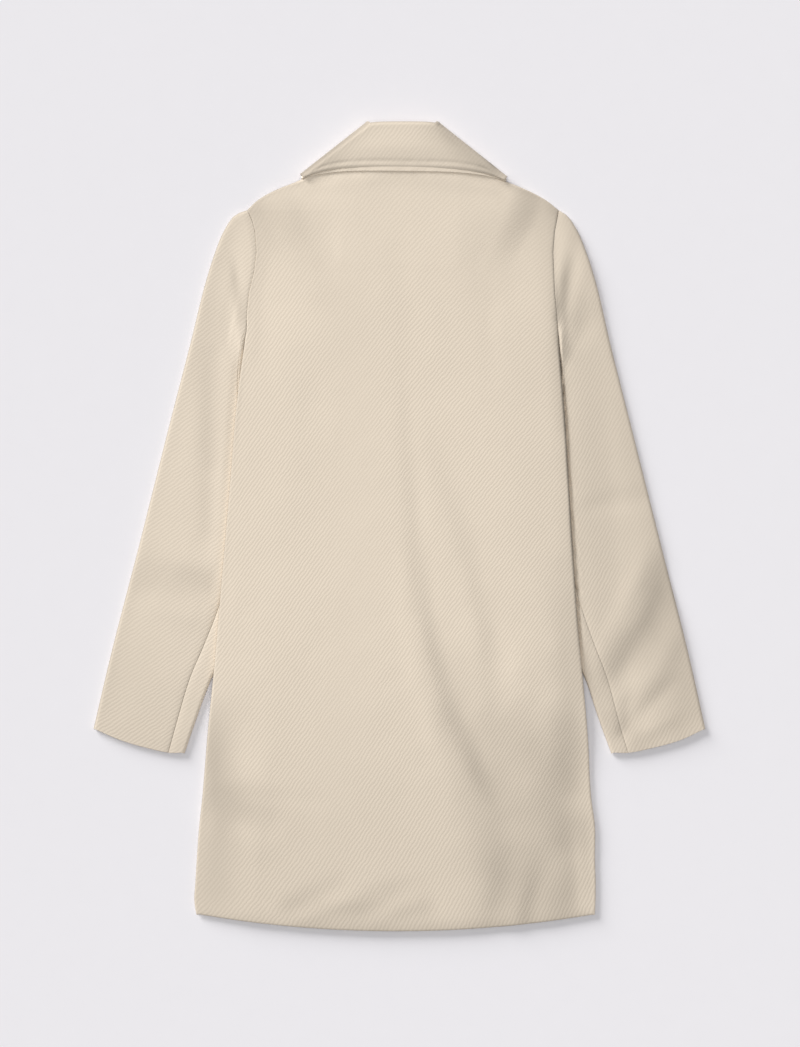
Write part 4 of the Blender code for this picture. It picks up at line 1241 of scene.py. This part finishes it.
def sweep(shape, points):
    """A closed tube of thread along points that run in the XZ plane."""
    rings = []
    for index, (x, y, z) in enumerate(points):
        before = points[max(index - 1, 0)]
        after = points[min(index + 1, len(points) - 1)]
        run = unit(np.array([after[0] - before[0], 0.0, after[2] - before[2]]))
        up = np.array([-run[2], 0.0, run[0]])
        ring = []
        for side in range(TUBE_SIDES):
            turn = math.tau * side / TUBE_SIDES
            spot = np.array([x, y, z]) + up * THREAD_RADIUS * math.cos(turn)
            spot[1] += THREAD_RADIUS * math.sin(turn)
            ring.append(shape.verts.new(placed(spot)))
        rings.append(ring)
    for first, second in zip(rings, rings[1:]):
        for side in range(TUBE_SIDES):
            after = (side + 1) % TUBE_SIDES
            shape.faces.new((first[side], first[after], second[after], second[side]))
    shape.faces.new(rings[0][::-1])
    shape.faces.new(rings[-1])


# --- The studio ---

# Millimetres for each pixel of the photo, its size, and the pixel of the hem's middle
PHOTO_SCALE = 1.2
PHOTO_SIZE = (800, 1047)
HEM_PIXEL = (400.0, 928.0)
# The camera's height above the floor, and above the cloth that it frames, in metres
CAMERA_HEIGHT = 4.01
CAMERA_TO_CLOTH = 4.0
SENSOR = 36.0
FILL_STRENGTH = 0.18
# How far the floor reaches from the middle, and how far it lies beneath the coat, in metres
FLOOR_REACH = 6.0
FLOOR_DROP = 0.0003
# Height above the horizon, strength and angular size of the key and of the top light, in degrees
SUNS = (("key", 21.0, 3.55, 32.0), ("top", 89.0, 1.28, 40.0))


def make_camera():
    """Straight above the coat, with the photo's frame."""
    data = bpy.data.cameras.new("camera")
    data.sensor_fit = "VERTICAL"
    data.sensor_height = SENSOR
    frame_height = PHOTO_SIZE[1] * PHOTO_SCALE * MM
    data.lens = SENSOR * CAMERA_TO_CLOTH / frame_height
    camera = add_object("camera", data)
    middle_x = (PHOTO_SIZE[0] / 2 - HEM_PIXEL[0]) * PHOTO_SCALE
    middle_y = (HEM_PIXEL[1] - PHOTO_SIZE[1] / 2) * PHOTO_SCALE
    spot = placed(np.array([middle_x, middle_y, 0.0]))
    camera.location = (spot[0], spot[1], CAMERA_HEIGHT)
    bpy.context.scene.camera = camera


def make_floor():
    """A plain pale floor, just under the coat."""
    mesh = bpy.data.meshes.new("floor")
    shape = bmesh.new()
    bmesh.ops.create_grid(shape, x_segments=1, y_segments=1, size=FLOOR_REACH)
    shape.to_mesh(mesh)
    shape.free()
    mesh.materials.append(make_plain("floor", (0.845, 0.838, 0.878, 1.0), 1.0, 40.0))
    floor = add_object("floor", mesh)
    floor.location = (0.0, 0.0, -FLOOR_DROP)


def make_lights():
    """A soft key from the upper left, a soft light straight above and a weak even fill."""
    for name, height, energy, size in SUNS:
        data = bpy.data.lights.new(name, "SUN")
        data.energy = energy
        data.angle = math.radians(size)
        data.color = (1.0, 0.985, 0.965)
        sun = add_object(name, data)
        sun.rotation_euler = (math.radians(90.0 - height), 0.0, KEY_AZIMUTH + math.pi / 2)
    world = bpy.data.worlds.new("studio")
    world.use_nodes = True
    fill = world.node_tree.nodes["Background"]
    fill.inputs["Color"].default_value = (0.985, 0.99, 1.0, 1.0)
    fill.inputs["Strength"].default_value = FILL_STRENGTH
    bpy.context.scene.world = world
    bpy.context.scene.view_settings.view_transform = "Standard"


# --- The coat ---

# Each panel's cut: width and length in metres, and its area in square metres
CUTS = {
    "back": ((0.49, 0.93), 0.39),
    "front": ((0.32, 0.92), 0.25),
    "upper_sleeve": ((0.22, 0.67), 0.125),
    "under_sleeve": ((0.10, 0.60), 0.028),
    "collar": ((0.60, 0.11), 0.05),
}


def dress():
    """Puts a shell in place of each cloth node, and finishes the buttons."""
    declare(make_back(), "back", *CUTS["back"], rests_on=["front_left", "front_right"])
    for side, word in ((-1, "left"), (1, "right")):
        declare(make_front(side, word), "front_" + word, *CUTS["front"], rests_on=["floor"])
        upper, under = make_sleeve(side, word)
        declare(upper, "upper_sleeve_" + word, *CUTS["upper_sleeve"], rests_on=["floor"])
        declare(under, "under_sleeve_" + word, *CUTS["under_sleeve"], rests_on=["floor"])
        for number, y in enumerate(BUTTON_ROWS, 1):
            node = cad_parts[f"button_{word}_{number}"]
            for slot in node.material_slots:
                slot.material = HORN
            make_threads(f"thread_{word}_{number}", side * BUTTON_X, y)
    for layer in COLLAR_LAYERS:
        declare(make_collar(layer), layer, *CUTS["collar"], rests_on=["back"])


dress()
make_camera()
make_floor()
make_lights()
